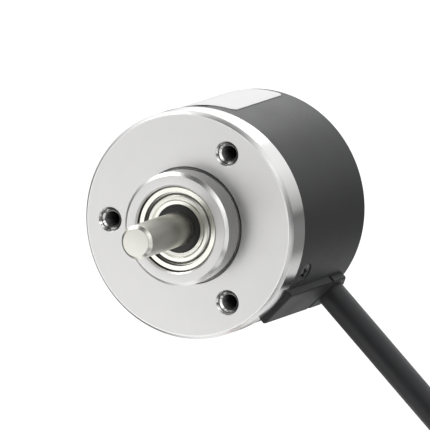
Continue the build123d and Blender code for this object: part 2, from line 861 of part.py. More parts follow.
with BuildPart() as cover_seal:
    with BuildSketch(Plane.XY):
        with Locations((seal_groove_radius + seal_section_radius, seal_y)):
            Circle(seal_section_radius)
    revolve(axis=Axis.Y)
keep("cover_seal", cover_seal)

screw_head_floor = cover_radius - cover_screw_recess
with BuildPart() as cover_screws:
    for angle in angles(cover_screw_first_angle, cover_screw_count):
        with BuildSketch(outward(angle, rim_inner_radius, cover_screw_y)):
            Circle(cover_screw_radius)
        extrude(amount=screw_head_floor - rim_inner_radius)
        with BuildSketch(outward(angle, screw_head_floor, cover_screw_y)):
            Circle(cover_screw_head_radius)
        extrude(amount=cover_screw_head_height, taper=12)
        with BuildSketch(outward(angle, screw_head_floor + cover_screw_head_height, cover_screw_y)):
            with Locations(Rotation(0, 0, 20)):
                Rectangle(cross_slot_length, cross_slot_width)
                Rectangle(cross_slot_width, cross_slot_length)
        extrude(amount=-cover_screw_head_height, mode=Mode.SUBTRACT)
keep("cover_screws", cover_screws)

# Label: thin sheet wrapped over the cover, with rounded corners
with BuildPart() as label:
    with BuildSketch(Plane.XY.rotated((0, -label_first_angle, 0))):
        with Locations((cover_radius + slip_gap + label_thickness / 2, label_front_y + label_length / 2)):
            Rectangle(label_thickness, label_length)
    revolve(axis=Axis.Y, revolution_arc=-label_sweep)
    corners = label.edges().filter_by(lambda e: e.length < 2 * label_thickness)
    fillet(corners, label_corner_radius)
keep("label", label)


# Cable outlet: two pieces with a groove on each side that slide into the slot of the cover
def outlet_block(front_y, neck_end_y, outline):
    """Block through the slot: outer pad, neck in the slot and a lip inside the cover."""
    with BuildPart() as block:
        with BuildSketch(outward(cable_angle, lip_inner_radius)):
            with BuildLine():
                Polyline(*outline, close=True)
            make_face()
        extrude(amount=pad_face_radius - lip_inner_radius)
        chamfer(block.faces().sort_by(Axis((0, 0, 0), along_cable(1, 0, 0)))[-1].edges(), pad_edge_chamfer)
        with BuildSketch(Plane.XY):
            with Locations(((lip_radius + cover_radius + slip_gap) / 2, body_length / 2)):
                Rectangle(cover_radius + slip_gap - lip_radius, 2 * body_length)
        revolve(axis=Axis.Y, mode=Mode.SUBTRACT)
        with BuildSketch(Plane.XY):
            with Locations((lip_radius / 2, cover_floor_y - inner_lip_end_gap + body_length / 2)):
                Rectangle(lip_radius, body_length)
        revolve(axis=Axis.Y, mode=Mode.SUBTRACT)
        with BuildSketch(outward(cable_angle, lip_inner_radius + inner_lip_thickness / 2)):
            neck_half_width = slot_half_width - slip_gap
            straight_end_y = min(neck_end_y, cable_y)
            with Locations(((front_y + straight_end_y) / 2, 0)):
                Rectangle(straight_end_y - front_y, 2 * neck_half_width)
            if neck_end_y > cable_y:
                with Locations((cable_y, 0)):
                    Circle(neck_half_width)
        extrude(amount=pad_face_radius - pad_edge_chamfer - lip_inner_radius - inner_lip_thickness / 2)
        with BuildSketch(Plane.XY):
            with Locations((cover_inner_radius / 2, rim_end_y / 2 + loose_gap)):
                Rectangle(cover_inner_radius, rim_end_y)
        revolve(axis=Axis.Y, mode=Mode.SUBTRACT)
    return block


filler_front_y = flange_thickness + slip_gap
filler_outline = [
    (filler_front_y, -pad_half_width),
    (pad_split_y - pad_split_gap / 2, -pad_half_width),
    (pad_split_y - pad_split_gap / 2, pad_half_width),
    (filler_front_y, pad_half_width),
]
slot_filler = outlet_block(filler_front_y, pad_split_y, filler_outline)
keep("slot_filler", slot_filler)

grommet_front_y = pad_split_y + pad_split_gap / 2
grommet_outline = [
    (grommet_front_y, -pad_half_width),
    (pad_corner_y, -pad_half_width),
    (pad_end_y, -pad_corner_half_width),
    (pad_end_y, pad_corner_half_width),
    (pad_corner_y, pad_half_width),
    (grommet_front_y, pad_half_width),
]
grommet_block = outlet_block(pad_split_y + slip_gap, cable_y + slot_half_width, grommet_outline)
with BuildPart() as cable_grommet:
    add(grommet_block.part)
    with BuildSketch(outward(cable_angle, lip_inner_radius - 1, cable_y)):
        Circle(cable_radius)
    extrude(amount=pad_face_radius, mode=Mode.SUBTRACT)
keep("cable_grommet", cable_grommet)

with BuildPart() as cable_entry:
    with BuildSketch(outward(cable_angle, sheath_end_radius, cable_y)):
        Circle(cable_radius)
    extrude(amount=pad_face_radius - sheath_end_radius)
keep("cable_entry", cable_entry)

# Free cable: straight out of the grommet, down to the floor and into a flat coil
coil_entry_z = floor_z + 3 * cable_radius
route = [
    along_cable(pad_face_radius),
    along_cable(cable_straight_end),
    (61.5, 18.0, -54.0),
    (74.5, 2.0, -57.8),
    (79.2, -20.5, coil_entry_z),
]


def corner_radii(points):
    """Arc for each corner: 0.45 of the shorter run over the tangent of half the turn."""
    radii = []
    for before, corner, after in zip(points, points[1:], points[2:]):
        run_in = Vector(*corner) - Vector(*before)
        run_out = Vector(*after) - Vector(*corner)
        half_turn = radians(run_in.get_angle(run_out)) / 2
        radii.append(0.45 * min(run_in.length, run_out.length) / tan(half_turn))
    return radii


route_radii = corner_radii(route)
print("cable arcs", [round(r, 1) for r in route_radii])


def middle_of(a, b):
    return tuple((p + q) / 2 for p, q in zip(a, b))


coil_meeting = middle_of(route[-2], route[-1])
with BuildPart() as cable:
    with BuildLine() as cable_line:
        FilletPolyline(*route[:-1], coil_meeting, radius=route_radii)
    with BuildSketch(cable_line.line ^ 0):
        Circle(cable_radius)
    sweep()
keep("cable", cable)
section_area = 3.141593 * cable_radius**2
cable_length = sum(edge.length for edge in cable_line.edges())
print("cable volume", round(cable.part.volume, 1), "section by length", round(section_area * cable_length, 1))

tail_start = (tail_x, coil_centre_y + tail_overlap, floor_z + cable_radius)
coil_profile = [
    (coil_inner_radius, floor_z + coil_edge_chamfer),
    (coil_inner_radius + coil_edge_chamfer, floor_z),
    (coil_lower_outer_radius - coil_edge_chamfer, floor_z),
    (coil_lower_outer_radius, floor_z + coil_edge_chamfer),
    (coil_lower_outer_radius, floor_z + 2 * cable_radius - coil_edge_chamfer),
    (coil_upper_outer_radius, floor_z + 2 * cable_radius),
    (coil_upper_outer_radius, floor_z + 4 * cable_radius - coil_edge_chamfer),
    (coil_upper_outer_radius - coil_edge_chamfer, floor_z + 4 * cable_radius),
    (coil_inner_radius + coil_edge_chamfer, floor_z + 4 * cable_radius),
    (coil_inner_radius, floor_z + 4 * cable_radius - coil_edge_chamfer),
]
coil_plane = Plane(origin=(coil_centre_x, coil_centre_y, 0), x_dir=(1, 0, 0), z_dir=(0, -1, 0))
with BuildPart() as cable_coil:
    with BuildSketch(coil_plane):
        with BuildLine():
            Polyline(*coil_profile, close=True)
        make_face()
    revolve(axis=Axis((coil_centre_x, coil_centre_y, 0), (0, 0, 1)))
    with BuildLine() as stub_line:
        Line(coil_meeting, route[-1])
    with BuildSketch(stub_line.line ^ 0):
        Circle(cable_radius)
    extrude(amount=(Vector(*route[-1]) - Vector(*coil_meeting)).length)
    with BuildSketch(Plane(origin=tail_start, z_dir=(0, -1, 0))):
        Circle(cable_radius)
    extrude(amount=tail_overlap)
keep("cable_coil", cable_coil)

with BuildPart() as cable_tail:
    with BuildSketch(Plane(origin=tail_start, z_dir=(0, 1, 0))):
        Circle(cable_radius)
    extrude(amount=tail_length)
keep("cable_tail", cable_tail)

# Stripped end: shrink sleeve, leads that fan out on the floor, tinned tips
tail_end_y = tail_start[1] + tail_length
with BuildPart() as end_sleeve:
    with BuildSketch(Plane(origin=(tail_x, tail_end_y + sleeve_overhang, tail_start[2]), z_dir=(0, -1, 0))):
        Circle(cable_radius + sleeve_wall)
        Circle(cable_radius, mode=Mode.SUBTRACT)
    extrude(amount=sleeve_length)
keep("cable_end_sleeve", end_sleeve)


def lead_route(number):
    """Route of one lead: straight out of the sheath, then down towards the floor and outwards."""
    spread = number - (len(lead_places) - 1) / 2
    place = radians(lead_places[number])
    start = (tail_x + lead_circle_radius * cos(place), tail_end_y, tail_start[2] + lead_circle_radius * sin(place))
    leave = (start[0], tail_end_y + lead_length * 0.2, start[2])
    knee = (tail_x + lead_fan * spread, tail_end_y + lead_length * 0.55, floor_z + 2 * lead_radius)
    end = (tail_x + lead_fan * 2 * spread, tail_end_y + lead_length * 0.95, floor_z + lead_radius)
    return [start, leave, knee, end]


with BuildPart() as leads:
    for number in range(len(lead_places)):
        points = lead_route(number)
        with BuildLine() as lead_line:
            FilletPolyline(*points, radius=corner_radii(points))
        with BuildSketch(lead_line.line ^ 0):
            Circle(lead_radius)
        sweep()
keep("cable_leads", leads)

with BuildPart() as lead_tips:
    for number in range(len(lead_places)):
        points = lead_route(number)
        with BuildSketch(Plane(origin=points[3], z_dir=Vector(*points[3]) - Vector(*points[2]))):
            Circle(lead_tip_radius)
        extrude(amount=lead_tip_length)
keep("lead_tips", lead_tips)
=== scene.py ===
"""Looks of an incremental rotary encoder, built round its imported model.

Every piece is in the row frame: origin at the centre of the flange's mounting face, the shaft along -Y,
+Z up, metres in the meshes. Sizes in this file are in millimetres unless a name says otherwise.
"""
import math

import bpy
import numpy as np
from mathutils import Matrix, Vector


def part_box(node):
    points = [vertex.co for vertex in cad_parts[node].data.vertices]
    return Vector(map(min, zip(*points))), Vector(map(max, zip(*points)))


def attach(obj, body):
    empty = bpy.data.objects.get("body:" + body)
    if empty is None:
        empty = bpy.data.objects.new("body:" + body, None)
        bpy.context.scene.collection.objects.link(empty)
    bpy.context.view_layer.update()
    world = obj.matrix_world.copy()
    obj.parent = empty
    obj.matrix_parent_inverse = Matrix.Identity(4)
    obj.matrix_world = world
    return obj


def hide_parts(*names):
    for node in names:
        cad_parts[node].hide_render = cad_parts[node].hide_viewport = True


bl_info = {
    "name": "Incremental rotary encoder",
    "version": (1, 0, 0),
    "blender": (4, 5, 0),
    "location": "3D View > Sidebar > Encoder",
    "description": "Builds the visible pieces and the finishes of a shaft encoder",
    "category": "Object",
}

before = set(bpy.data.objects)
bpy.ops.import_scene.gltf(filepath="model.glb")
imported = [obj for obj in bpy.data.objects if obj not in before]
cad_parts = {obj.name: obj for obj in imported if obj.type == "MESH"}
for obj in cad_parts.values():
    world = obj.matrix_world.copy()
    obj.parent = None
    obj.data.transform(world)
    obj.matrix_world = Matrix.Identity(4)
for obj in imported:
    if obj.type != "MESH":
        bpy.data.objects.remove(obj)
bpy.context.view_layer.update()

MM = 0.001
ROUND = 192
PHOTO_PIXELS = 430.0

# Angles run from +X towards +Z; y is the place along the axis
MOUNT_ANGLES = (60.0, 180.0, 300.0)
MOUNT_CIRCLE = 15.0
SCREW_ANGLES = (-26.5, 93.5, 213.5)
SCREW_Y = 9.7
HEAD_SEAT = 19.08
CABLE_ANGLE = math.radians(-45.0)
OUTLET_Y = 26.2
OUTLET_SEAT = 19.72
OUTLET_FACE = 20.75

# The coil on the ground lies in two layers, and the stripped end beside it
FLOOR_Z = -66.0
LOW_LAYER = FLOOR_Z + 2.5
HIGH_LAYER = FLOOR_Z + 7.5
TAIL_X = 9.4
TAIL_END = -5.0
LEAD_LENGTH = 34.0
LEAD_RADIUS = 0.55


def reach(name):
    """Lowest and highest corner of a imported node, in millimetres."""
    low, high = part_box(name)
    return np.array(low) / MM, np.array(high) / MM


# Shapes


def rounded(corners, radii, steps=5):
    """Closed outline with each corner replaced by an arc.

    At a corner with turn t and radius r the arc starts r * tan(t / 2) before it, and its points are the
    start turned round the arc's centre by even shares of t.
    """
    p = np.asarray(corners, float)
    r = np.broadcast_to(np.asarray(radii, float), (len(p),))
    before = p - np.roll(p, 1, 0)
    after = np.roll(p, -1, 0) - p
    a = before / np.linalg.norm(before, axis=1)[:, None]
    b = after / np.linalg.norm(after, axis=1)[:, None]
    turn = np.arctan2(a[:, 0] * b[:, 1] - a[:, 1] * b[:, 0], (a * b).sum(1))
    cut = r * np.abs(np.tan(turn / 2))
    start = p - a * cut[:, None]
    side = np.sign(turn)[:, None] * np.stack([-a[:, 1], a[:, 0]], 1)
    centre = start + side * r[:, None]
    share = np.linspace(0, 1, steps + 1)[None, :] * turn[:, None]
    arm = (start - centre)[:, None, :]
    c, s = np.cos(share)[..., None], np.sin(share)[..., None]
    turned = centre[:, None, :] + arm * c + np.stack([-arm[..., 1], arm[..., 0]], -1) * s
    return turned.reshape(-1, 2)


def from_axis(corners, radii, steps):
    """Rounded outline of a body without a bore, whose first and last corners lie past the axis."""
    outline = rounded(corners, radii, steps)
    outline = outline[outline[:, 0] > 0]
    return np.vstack([[0.0, corners[0][1]], outline, [0.0, corners[-1][1]]])


def linked(name, data):
    """New object at the origin, in the scene's collection."""
    piece = bpy.data.objects.new(name, data)
    bpy.context.scene.collection.objects.link(piece)
    return piece


def mesh_piece(name, points, faces):
    """Smooth object at the origin from points in millimetres and a list of faces."""
    mesh = bpy.data.meshes.new(name)
    mesh.from_pydata((np.asarray(points) * MM).tolist(), [], faces)
    mesh.update()
    mesh.validate()
    mesh.shade_smooth()
    return linked(name, mesh)


def vertices(mesh):
    """Places of a mesh's vertices, in metres."""
    co = np.zeros(len(mesh.vertices) * 3, np.float32)
    mesh.vertices.foreach_get("co", co)
    return co.reshape(-1, 3)


def wrapped(rows, columns, wrap_rows):
    """Quads of a grid whose columns close, and whose rows close too if asked."""
    i = np.arange(rows if wrap_rows else rows - 1)[:, None]
    j = np.arange(columns)[None, :]
    n, k = (i + 1) % rows, (j + 1) % columns
    quads = np.stack([i * columns + j, n * columns + j, n * columns + k, i * columns + k], -1)
    return quads.reshape(-1, 4).tolist()


def turned(name, outline, closed=True, centre=(0.0, 0.0), segments=ROUND):
    """Body of revolution about a line parallel to Y.

    Point (u, v) is (radius(v) * cos u, y(v), radius(v) * sin u). An open outline starts and ends on the
    axis, where its rings shrink to one point.
    """
    profile = np.asarray(outline, float)
    angle = np.linspace(0, 2 * math.pi, segments, endpoint=False)
    ends = []
    if not closed:
        ends = [profile[0], profile[-1]]
        profile = profile[1:-1]
    r, y = profile[:, 0, None], profile[:, 1, None]
    grid = np.stack([centre[0] + r * np.cos(angle), y + 0 * angle, centre[1] + r * np.sin(angle)], -1)
    points = grid.reshape(-1, 3)
    faces = wrapped(len(profile), segments, closed)
    if ends:
        first, last = len(points), len(points) + 1
        tips = [[centre[0], ends[0][1], centre[1]], [centre[0], ends[1][1], centre[1]]]
        points = np.vstack([points, tips])
        j = np.arange(segments)
        k = (j + 1) % segments
        base = (len(profile) - 1) * segments
        faces += np.stack([j, k, first + 0 * j], -1).tolist()
        faces += np.stack([base + k, base + j, last + 0 * j], -1).tolist()
    return outwards(mesh_piece(name, points, faces))


def outwards(piece):
    """Turns a closed mesh so that its volume, summed over its faces, is positive."""
    mesh = piece.data
    mesh.calc_loop_triangles()
    tri = np.zeros(len(mesh.loop_triangles) * 3, np.int32)
    mesh.loop_triangles.foreach_get("vertices", tri)
    t = vertices(mesh)[tri.reshape(-1, 3)].astype(float)
    if (np.cross(t[:, 0], t[:, 1]) * t[:, 2]).sum() < 0:
        mesh.flip_normals()
    return piece


def lofted(name, loops):
    """Closed body from loops of points, each joined to the next, with flat ends."""
    rings = np.asarray(loops, float)
    rows, columns = rings.shape[:2]
    faces = wrapped(rows, columns, False)
    faces.append(list(range(columns))[::-1])
    faces.append(list(range((rows - 1) * columns, rows * columns)))
    return outwards(mesh_piece(name, rings.reshape(-1, 3), faces))


def joined(name, pieces):
    """One mesh from several finished ones, which are removed."""
    points, faces, start = [], [], 0
    for piece in pieces:
        mesh = piece.data
        points.append(vertices(mesh) / MM)
        faces += [[start + v for v in polygon.vertices] for polygon in mesh.polygons]
        start += len(mesh.vertices)
        bpy.data.objects.remove(piece)
    return mesh_piece(name, np.vstack(points), faces)


def cut_by(piece, cutters):
    """Takes the cutters out of a piece and keeps the result as its mesh."""
    for cutter in cutters:
        step = piece.modifiers.new("cut", "BOOLEAN")
        step.operation = "DIFFERENCE"
        step.solver = "EXACT"
        step.object = cutter
    graph = bpy.context.evaluated_depsgraph_get()
    cut = bpy.data.meshes.new_from_object(piece.evaluated_get(graph))
    piece.modifiers.clear()
    piece.data = cut
    for cutter in cutters:
        bpy.data.objects.remove(cutter)
    return piece


def fine_edges(piece, width=0.0, sharp=32.0):
    """Smooth faces with crisp edges, and a small bevel along them where a width is given."""
    piece.data.shade_smooth()
    piece.data.set_sharp_from_angle(angle=math.radians(sharp))
    if width:
        bevel = piece.modifiers.new("bevel", "BEVEL")
        bevel.width = width * MM
        bevel.segments = 2
        bevel.limit_method = "ANGLE"
        bevel.angle_limit = math.radians(sharp)
    weighted = piece.modifiers.new("normals", "WEIGHTED_NORMAL")
    weighted.keep_sharp = not width
    return piece


def outward_frame(angle):
    """Directions of a place on the body's side: away from the axis, and round the body."""
    return np.array([math.cos(angle), 0, math.sin(angle)]), np.array([-math.sin(angle), 0, math.cos(angle)])


def on_side(angle, outline, height):
    """Outline of (y, round) points at a height from the axis along the outward direction."""
    away, round_body = outward_frame(angle)
    o = np.asarray(outline, float)
    h = np.broadcast_to(np.asarray(height, float), (len(o),))
    return h[:, None] * away + o[:, 1:2] * round_body + o[:, 0:1] * np.array([0, 1.0, 0])


def on_cylinder(outline, radius):
    """Heights at which an outline of (y, round) points meets a cylinder round the axis."""
    return np.sqrt(radius**2 - np.asarray(outline, float)[:, 1] ** 2)


def slot_end(half, steps):
    """Round rear end of the cable slot in (y, round), about the place where the cable leaves."""
    bow = np.linspace(-math.pi / 2, math.pi / 2, steps)
    return np.stack([OUTLET_Y + half * np.cos(bow), half * np.sin(bow)], 1)


def sampled(sides, count=24):
    """Outline from four polylines, each with the same number of even steps between its own corners."""
    points = []
    for side in sides:
        corners = np.asarray(side, float)
        at = np.linspace(0, len(corners) - 1, count + 1)[:-1]
        step = np.arange(len(corners))
        points.append(np.stack([np.interp(at, step, corners[:, 0]), np.interp(at, step, corners[:, 1])], 1))
    return np.vstack(points)


# Finishes


class Value:
    """One output of a node. Arithmetic on it adds Math nodes."""

    def __init__(self, tree, socket):
        self.tree, self.socket = tree, socket

    def output(self, name):
        """Another output of the same node."""
        return Value(self.tree, self.socket.node.outputs[name])

    def maths(self, operation, *others):
        """One Math node on values and plain numbers."""
        return add_node(self.tree, "ShaderNodeMath", {"operation": operation}, dict(enumerate(others)))

    def __add__(self, other):
        return self.maths("ADD", self, other)

    def __sub__(self, other):
        return self.maths("SUBTRACT", self, other)

    def __rsub__(self, other):
        return self.maths("SUBTRACT", other, self)

    def __mul__(self, other):
        return self.maths("MULTIPLY", self, other)

    def __truediv__(self, other):
        return self.maths("DIVIDE", self, other)

    __radd__, __rmul__ = __add__, __mul__

    def above(self, edge, width):
        """0 below the edge, 1 above it, over a width."""
        ramp = self.maths("ADD", (self - edge) / width, 0.5)
        return ramp.maths("MAXIMUM", ramp.maths("MINIMUM", ramp, 1.0), 0.0)

    def root(self):
        """Square root."""
        return self.maths("SQRT", self)


def add_node(tree, kind, settings=None, sockets=None, output=0):
    """One node: its settings first, then the values or links of its sockets, found by name or number.

    The stops of a ramp are its interpolation and then its positions with their colours.
    """
    node = tree.nodes.new(kind)
    for key, value in (settings or {}).items():
        if key == "stops":
            ramp = node.color_ramp
            ramp.interpolation = value[0]
            while len(ramp.elements) < len(value) - 1:
                ramp.elements.new(1.0)
            for element, (position, colour) in zip(ramp.elements, value[1:]):
                element.position = position
                element.color = colour
        else:
            setattr(node, key, value)
    for key, value in (sockets or {}).items():
        if isinstance(value, Value):
            tree.links.new(value.socket, node.inputs[key])
        else:
            node.inputs[key].default_value = value
    return Value(tree, node.outputs[output])


class Finish:
    """A material with one Principled shader, its object coordinates and the values worked out on them."""

    def __init__(self, name, **plain):
        self.material = bpy.data.materials.new(name)
        self.material.use_nodes = True
        self.tree = self.material.node_tree
        self.shader = next(n for n in self.tree.nodes if n.type == "BSDF_PRINCIPLED")
        for socket, value in plain.items():
            self.shader.inputs[socket.replace("_", " ")].default_value = value
        self.place = self.add("ShaderNodeTexCoord", output="Object")
        parts = self.add("ShaderNodeSeparateXYZ", sockets={"Vector": self.place})
        self.x, self.y, self.z = (parts.output(axis) for axis in "XYZ")

    def add(self, *node, **sockets_and_output):
        """One node in this material."""
        return add_node(self.tree, *node, **sockets_and_output)

    def noise(self, size, detail=3.0, roughness=0.55, along=None, stretch=None):
        """Noise with grains of a size in millimetres, along one value or in all directions."""
        if along is not None:
            sockets = {"W": along, "Scale": 1 / (size * MM), "Detail": detail, "Roughness": roughness}
            return self.add("ShaderNodeTexNoise", {"noise_dimensions": "1D"}, sockets)
        where = self.place
        if stretch is not None:
            where = self.add("ShaderNodeMapping", sockets={"Vector": self.place, "Scale": stretch})
        sockets = {"Vector": where, "Scale": 1 / (size * MM), "Detail": detail, "Roughness": roughness}
        return self.add("ShaderNodeTexNoise", sockets=sockets)

    def blend(self, share, first, second):
        """Colour between two others, which are given or linked."""
        sockets = {0: share, 6: first, 7: second}
        return self.add("ShaderNodeMix", {"data_type": "RGBA"}, sockets, output=2)

    def set(self, **values):
        """Links values to sockets of the shader."""
        for socket, value in values.items():
            self.tree.links.new(value.socket, self.shader.inputs[socket.replace("_", " ")])
        return self

    def bump(self, height, depth):
        """Relief: height runs from 0 to 1 over a depth in millimetres."""
        sockets = {"Height": height, "Distance": depth * MM}
        return self.set(Normal=self.add("ShaderNodeBump", sockets=sockets, output="Normal"))

    def radius(self):
        """Distance from the shaft axis, in metres."""
        return (self.x * self.x + self.z * self.z).root()

    def tool_path(self):
        """A value that grows along faces, sides and chamfers alike, for rings left by the tool."""
        return self.radius() + self.y * 1.31


def tone(colour, factor=1.0):
    """Colour of a property as four numbers, made lighter or darker."""
    return tuple(min(1.0, c * factor) for c in colour[:3]) + (1.0,)


def machined(name, colour, roughness, pitch, depth, spread=0.06, metallic=1.0, bore=0.0):
    """Turned metal: fine rings that follow the tool, and painted shade inside the radius given as bore."""
    look = Finish(name, Metallic=metallic, Roughness=roughness)
    rings = look.noise(pitch, 4.0, 0.7, along=look.tool_path())
    broad = look.noise(6.0, 2.0)
    base = look.blend(broad, tone(colour, 0.96), tone(colour, 1.03))
    # Painted shade: inside this radius the colour falls to a tenth, for the shade in a ring's recess
    if bore:
        base = look.blend(look.radius().above(bore * MM, 0.03 * MM), tone(colour, 0.1), base)
    look.set(Base_Color=base)
    look.set(Roughness=rings * spread + broad * spread * 0.6 + (roughness - spread * 0.8))
    return look.bump(rings, depth).material


def flange_finish(name, colour):
    """Blasted faces, sharper reflections on the turned sides, and painted shade in the bore and round the
    boss.

    Side and slope are 1 on the sides and the chamfers of the rim and the boss, and dark is 1 where shade is
    painted: on the bore's wall, and on the sunk ground close to the boss, the groove round its base among it.
    """
    look = Finish(name, Metallic=1.0, Roughness=0.4)
    radius = look.radius()
    rim, boss, high = (sizes()[key] * MM for key in ("flange_radius", "boss_radius", "boss_height"))
    raised = (look.y * -1).above(0.25 * MM, 0.2 * MM)
    sunk = look.y.above(0.07 * MM, 0.06 * MM)
    ring = reach("front_bearing_outer_ring")[0][1]
    # Painted shade on the bore's wall, and a painted contact shadow in the groove round the boss's base
    bore = (1 - radius.above(boss - 2.2 * MM, 0.06 * MM)) * look.y.above((ring - 0.3) * MM, 0.1 * MM)
    dark = bore.maths("MAXIMUM", bore, sunk * (1 - radius.above(boss + 1 * MM, 0.1 * MM)))
    boss_side = radius.above(boss - 0.62 * MM, 0.06 * MM)
    side = radius.above(rim - 0.74 * MM, 0.06 * MM) + boss_side * raised
    side = side.maths("MAXIMUM", side, sunk)
    slope = (1 - look.y.above(0.74 * MM, 0.08 * MM)) * radius.above(rim - 0.7 * MM, 0.06 * MM)
    slope = slope + (1 - look.y.above(0.6 * MM - high, 0.08 * MM)) * boss_side
    rings = look.noise(0.05, 4.0, 0.7, along=look.tool_path())
    broad = look.noise(6.0, 2.0)
    grain = look.noise(0.16, 4.0, 0.6)
    base = look.blend(broad, tone(colour, 0.96), tone(colour, 1.03))
    # Painted shade: the colour falls to three tenths where dark is 1
    look.set(Base_Color=look.blend(dark, base, tone(colour, 0.3)))
    look.set(Roughness=side * -0.24 + slope * 0.1 + rings * 0.06 + broad * 0.04 + 0.37)
    return look.bump(rings * (side * 0.3 + 0.25) + grain * (1 - side) * 0.7, 0.003).material


def moulded(name, colour, roughness, grain, depth, coat=0.0):
    """Moulded plastic or rubber: a fine grain, soft marks and a slight change of tone."""
    look = Finish(name, Roughness=roughness, Coat_Weight=coat, Coat_Roughness=0.3)
    fine = look.noise(grain, 3.0, 0.6)
    broad = look.noise(5.0, 3.0)
    look.set(Base_Color=look.blend(broad, tone(colour, 0.86), tone(colour, 1.12)))
    look.set(Roughness=broad * 0.16 + fine * 0.06 + (roughness - 0.11))
    return look.bump(fine, depth).material


def powder_coat(name, colour):
    """Matte coat: fine round grains over a soft waviness, with faint rubbed patches."""
    look = Finish(name, Roughness=0.5, Specular_IOR_Level=0.42)
    grains = look.add("ShaderNodeTexVoronoi", {"feature": "SMOOTH_F1"}, {
        "Vector": look.place, "Scale": 1 / (0.22 * MM), "Smoothness": 0.7})
    wave = look.noise(1.6, 3.0)
    rubbed = look.noise(7.0, 4.0)
    speck = look.noise(0.12, 1.0).above(0.7, 0.08)
    base = look.blend(rubbed, tone(colour, 0.93), tone(colour, 1.08))
    look.set(Base_Color=look.blend(speck * 0.25, base, tone(colour, 2.2)))
    look.set(Roughness=rubbed * 0.12 + grains * 0.08 + 0.4)
    return look.bump(grains * 0.7 + wave * 0.6, 0.012).material


def sheath_finish(name, colour):
    """Extruded sheath: a fine skin over soft waves and dull patches."""
    look = Finish(name, Roughness=0.5, Specular_IOR_Level=0.45)
    skin = look.noise(0.35, 3.0, 0.6)
    patches = look.noise(3.4, 3.0, 0.5, stretch=(1.0, 1.8, 1.0))
    look.set(Base_Color=look.blend(patches, tone(colour, 0.8), tone(colour, 1.2)))
    look.set(Roughness=patches * 0.22 + skin * 0.08 + 0.33)
    return look.bump(skin * 0.5 + patches, 0.03).material


def label_finish(name, colour):
    """White film: faint fibre and a soft satin face, left bare."""
    look = Finish(name, Roughness=0.36, Specular_IOR_Level=0.5, Coat_Weight=0.15, Coat_Roughness=0.25)
    fibre = look.noise(0.3, 4.0, 0.7)
    cloud = look.noise(4.0, 2.0)
    look.set(Base_Color=look.blend(cloud * 0.6 + fibre * 0.4, tone(colour, 0.97), tone(colour, 1.02)))
    look.set(Roughness=fibre * 0.1 + 0.3)
    return look.bump(fibre, 0.004).material


def board_finish(name, colour):
    """Circuit board: solder mask over a net of tracks."""
    look = Finish(name, Roughness=0.3, Coat_Weight=0.4, Coat_Roughness=0.12)
    cells = look.add("ShaderNodeTexVoronoi", {"feature": "DISTANCE_TO_EDGE"}, {
        "Vector": look.place, "Scale": 1 / (2.6 * MM), "Randomness": 0.35})
    tracks = 1 - cells.above(0.09, 0.03)
    weave = look.noise(0.5, 2.0)
    board = look.blend(weave, tone(colour, 0.85), tone(colour, 1.1))
    look.set(Base_Color=look.blend(tracks * 0.7, board, tone(colour, 1.9)))
    look.set(Roughness=weave * 0.12 + 0.24)
    return look.bump(tracks, 0.03).material


def clear_finish(name, colour, roughness):
    """Clear resin with a slight haze."""
    look = Finish(name, Roughness=roughness, IOR=1.5, Transmission_Weight=0.85)
    haze = look.noise(0.8, 2.0)
    look.set(Base_Color=look.blend(haze, tone(colour, 0.96), tone(colour)))
    look.set(Roughness=haze * 0.05 + roughness)
    return look.material


def banded_finish(name, colours, across, pitch):
    """Insulation in bands of colour, one for each wire, counted across their row."""
    look = Finish(name, Roughness=0.35)
    place = look.x * across[0] + look.y * across[1] + look.z * across[2]
    share = place * (1 / (pitch * MM * len(colours))) + 0.5
    stops = ["CONSTANT"] + [(number / len(colours), tone(colour)) for number, colour in enumerate(colours)]
    band = look.add("ShaderNodeValToRGB", {"stops": stops}, {"Fac": share})
    skin = look.noise(0.25, 2.0)
    look.set(Base_Color=look.blend(skin * 0.25, band, (0.3, 0.3, 0.3, 1.0)))
    look.set(Roughness=skin * 0.1 + 0.3)
    return look.bump(skin, 0.006).material


def etched_finish(name, colour):
    """Etched sheet: bright metal with darker, rougher clouds."""
    look = Finish(name, Metallic=1.0, Roughness=0.3)
    cloud = look.noise(0.5, 4.0, 0.7)
    look.set(Base_Color=look.blend(cloud, tone(colour, 0.8), tone(colour, 1.05)))
    look.set(Roughness=cloud * 0.2 + 0.2)
    return look.bump(cloud, 0.003).material


def dress(piece, finish):
    """Gives a piece one finish."""
    piece.data.materials.clear()
    piece.data.materials.append(bpy.data.materials[finish])
    return piece


def placed(piece, finish, slot, body, *nodes):
    """Gives a new piece its finish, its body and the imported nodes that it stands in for."""
    dress(piece, finish)
    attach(piece, body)
    if nodes:
        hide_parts(*nodes)
    return piece


# Settings that a user would change


def length_setting(name, description, default):
    """A length that a user can change, with its default in metres."""
    return bpy.props.FloatProperty(
        name=name, description=description, default=default, unit="LENGTH", precision=5)


def colour_setting(name, description, default):
    """A colour that a user can change."""
    return bpy.props.FloatVectorProperty(
        name=name, description=description, default=default, size=3, subtype="COLOR")


class EncoderSizes(bpy.types.PropertyGroup):
    """Lengths in metres, some of them read from the imported model"""

    flange_radius: length_setting("Flange radius", "Outer radius of the flange", 20.0 * MM)
    flange_thickness: length_setting(
        "Flange thickness", "Length of the flange's rim along the axis", 5.25 * MM)
    boss_radius: length_setting("Boss radius", "Radius of the pilot boss", 10.0 * MM)
    boss_height: length_setting("Boss height", "Height of the boss over the mounting face", 4.9 * MM)
    shaft_radius: length_setting(
        "Shaft radius", "Radius of the shaft's free end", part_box("rear_bearing_inner_ring")[1].x - 1.15 * MM)
    shaft_tip: length_setting("Shaft tip", "Place of the shaft's end along the axis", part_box("shaft")[0].y)
    cover_radius: length_setting("Cover radius", "Outer radius of the cover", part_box("housing_cover")[1].z)
    body_end: length_setting(
        "Body end", "Place of the cover's closed end along the axis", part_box("housing_cover")[1].y)
    cable_radius: length_setting("Cable radius", "Radius of the cable's sheath", 2.5 * MM)
    label_thickness: length_setting("Label thickness", "Thickness of the label's film", 0.1 * MM)


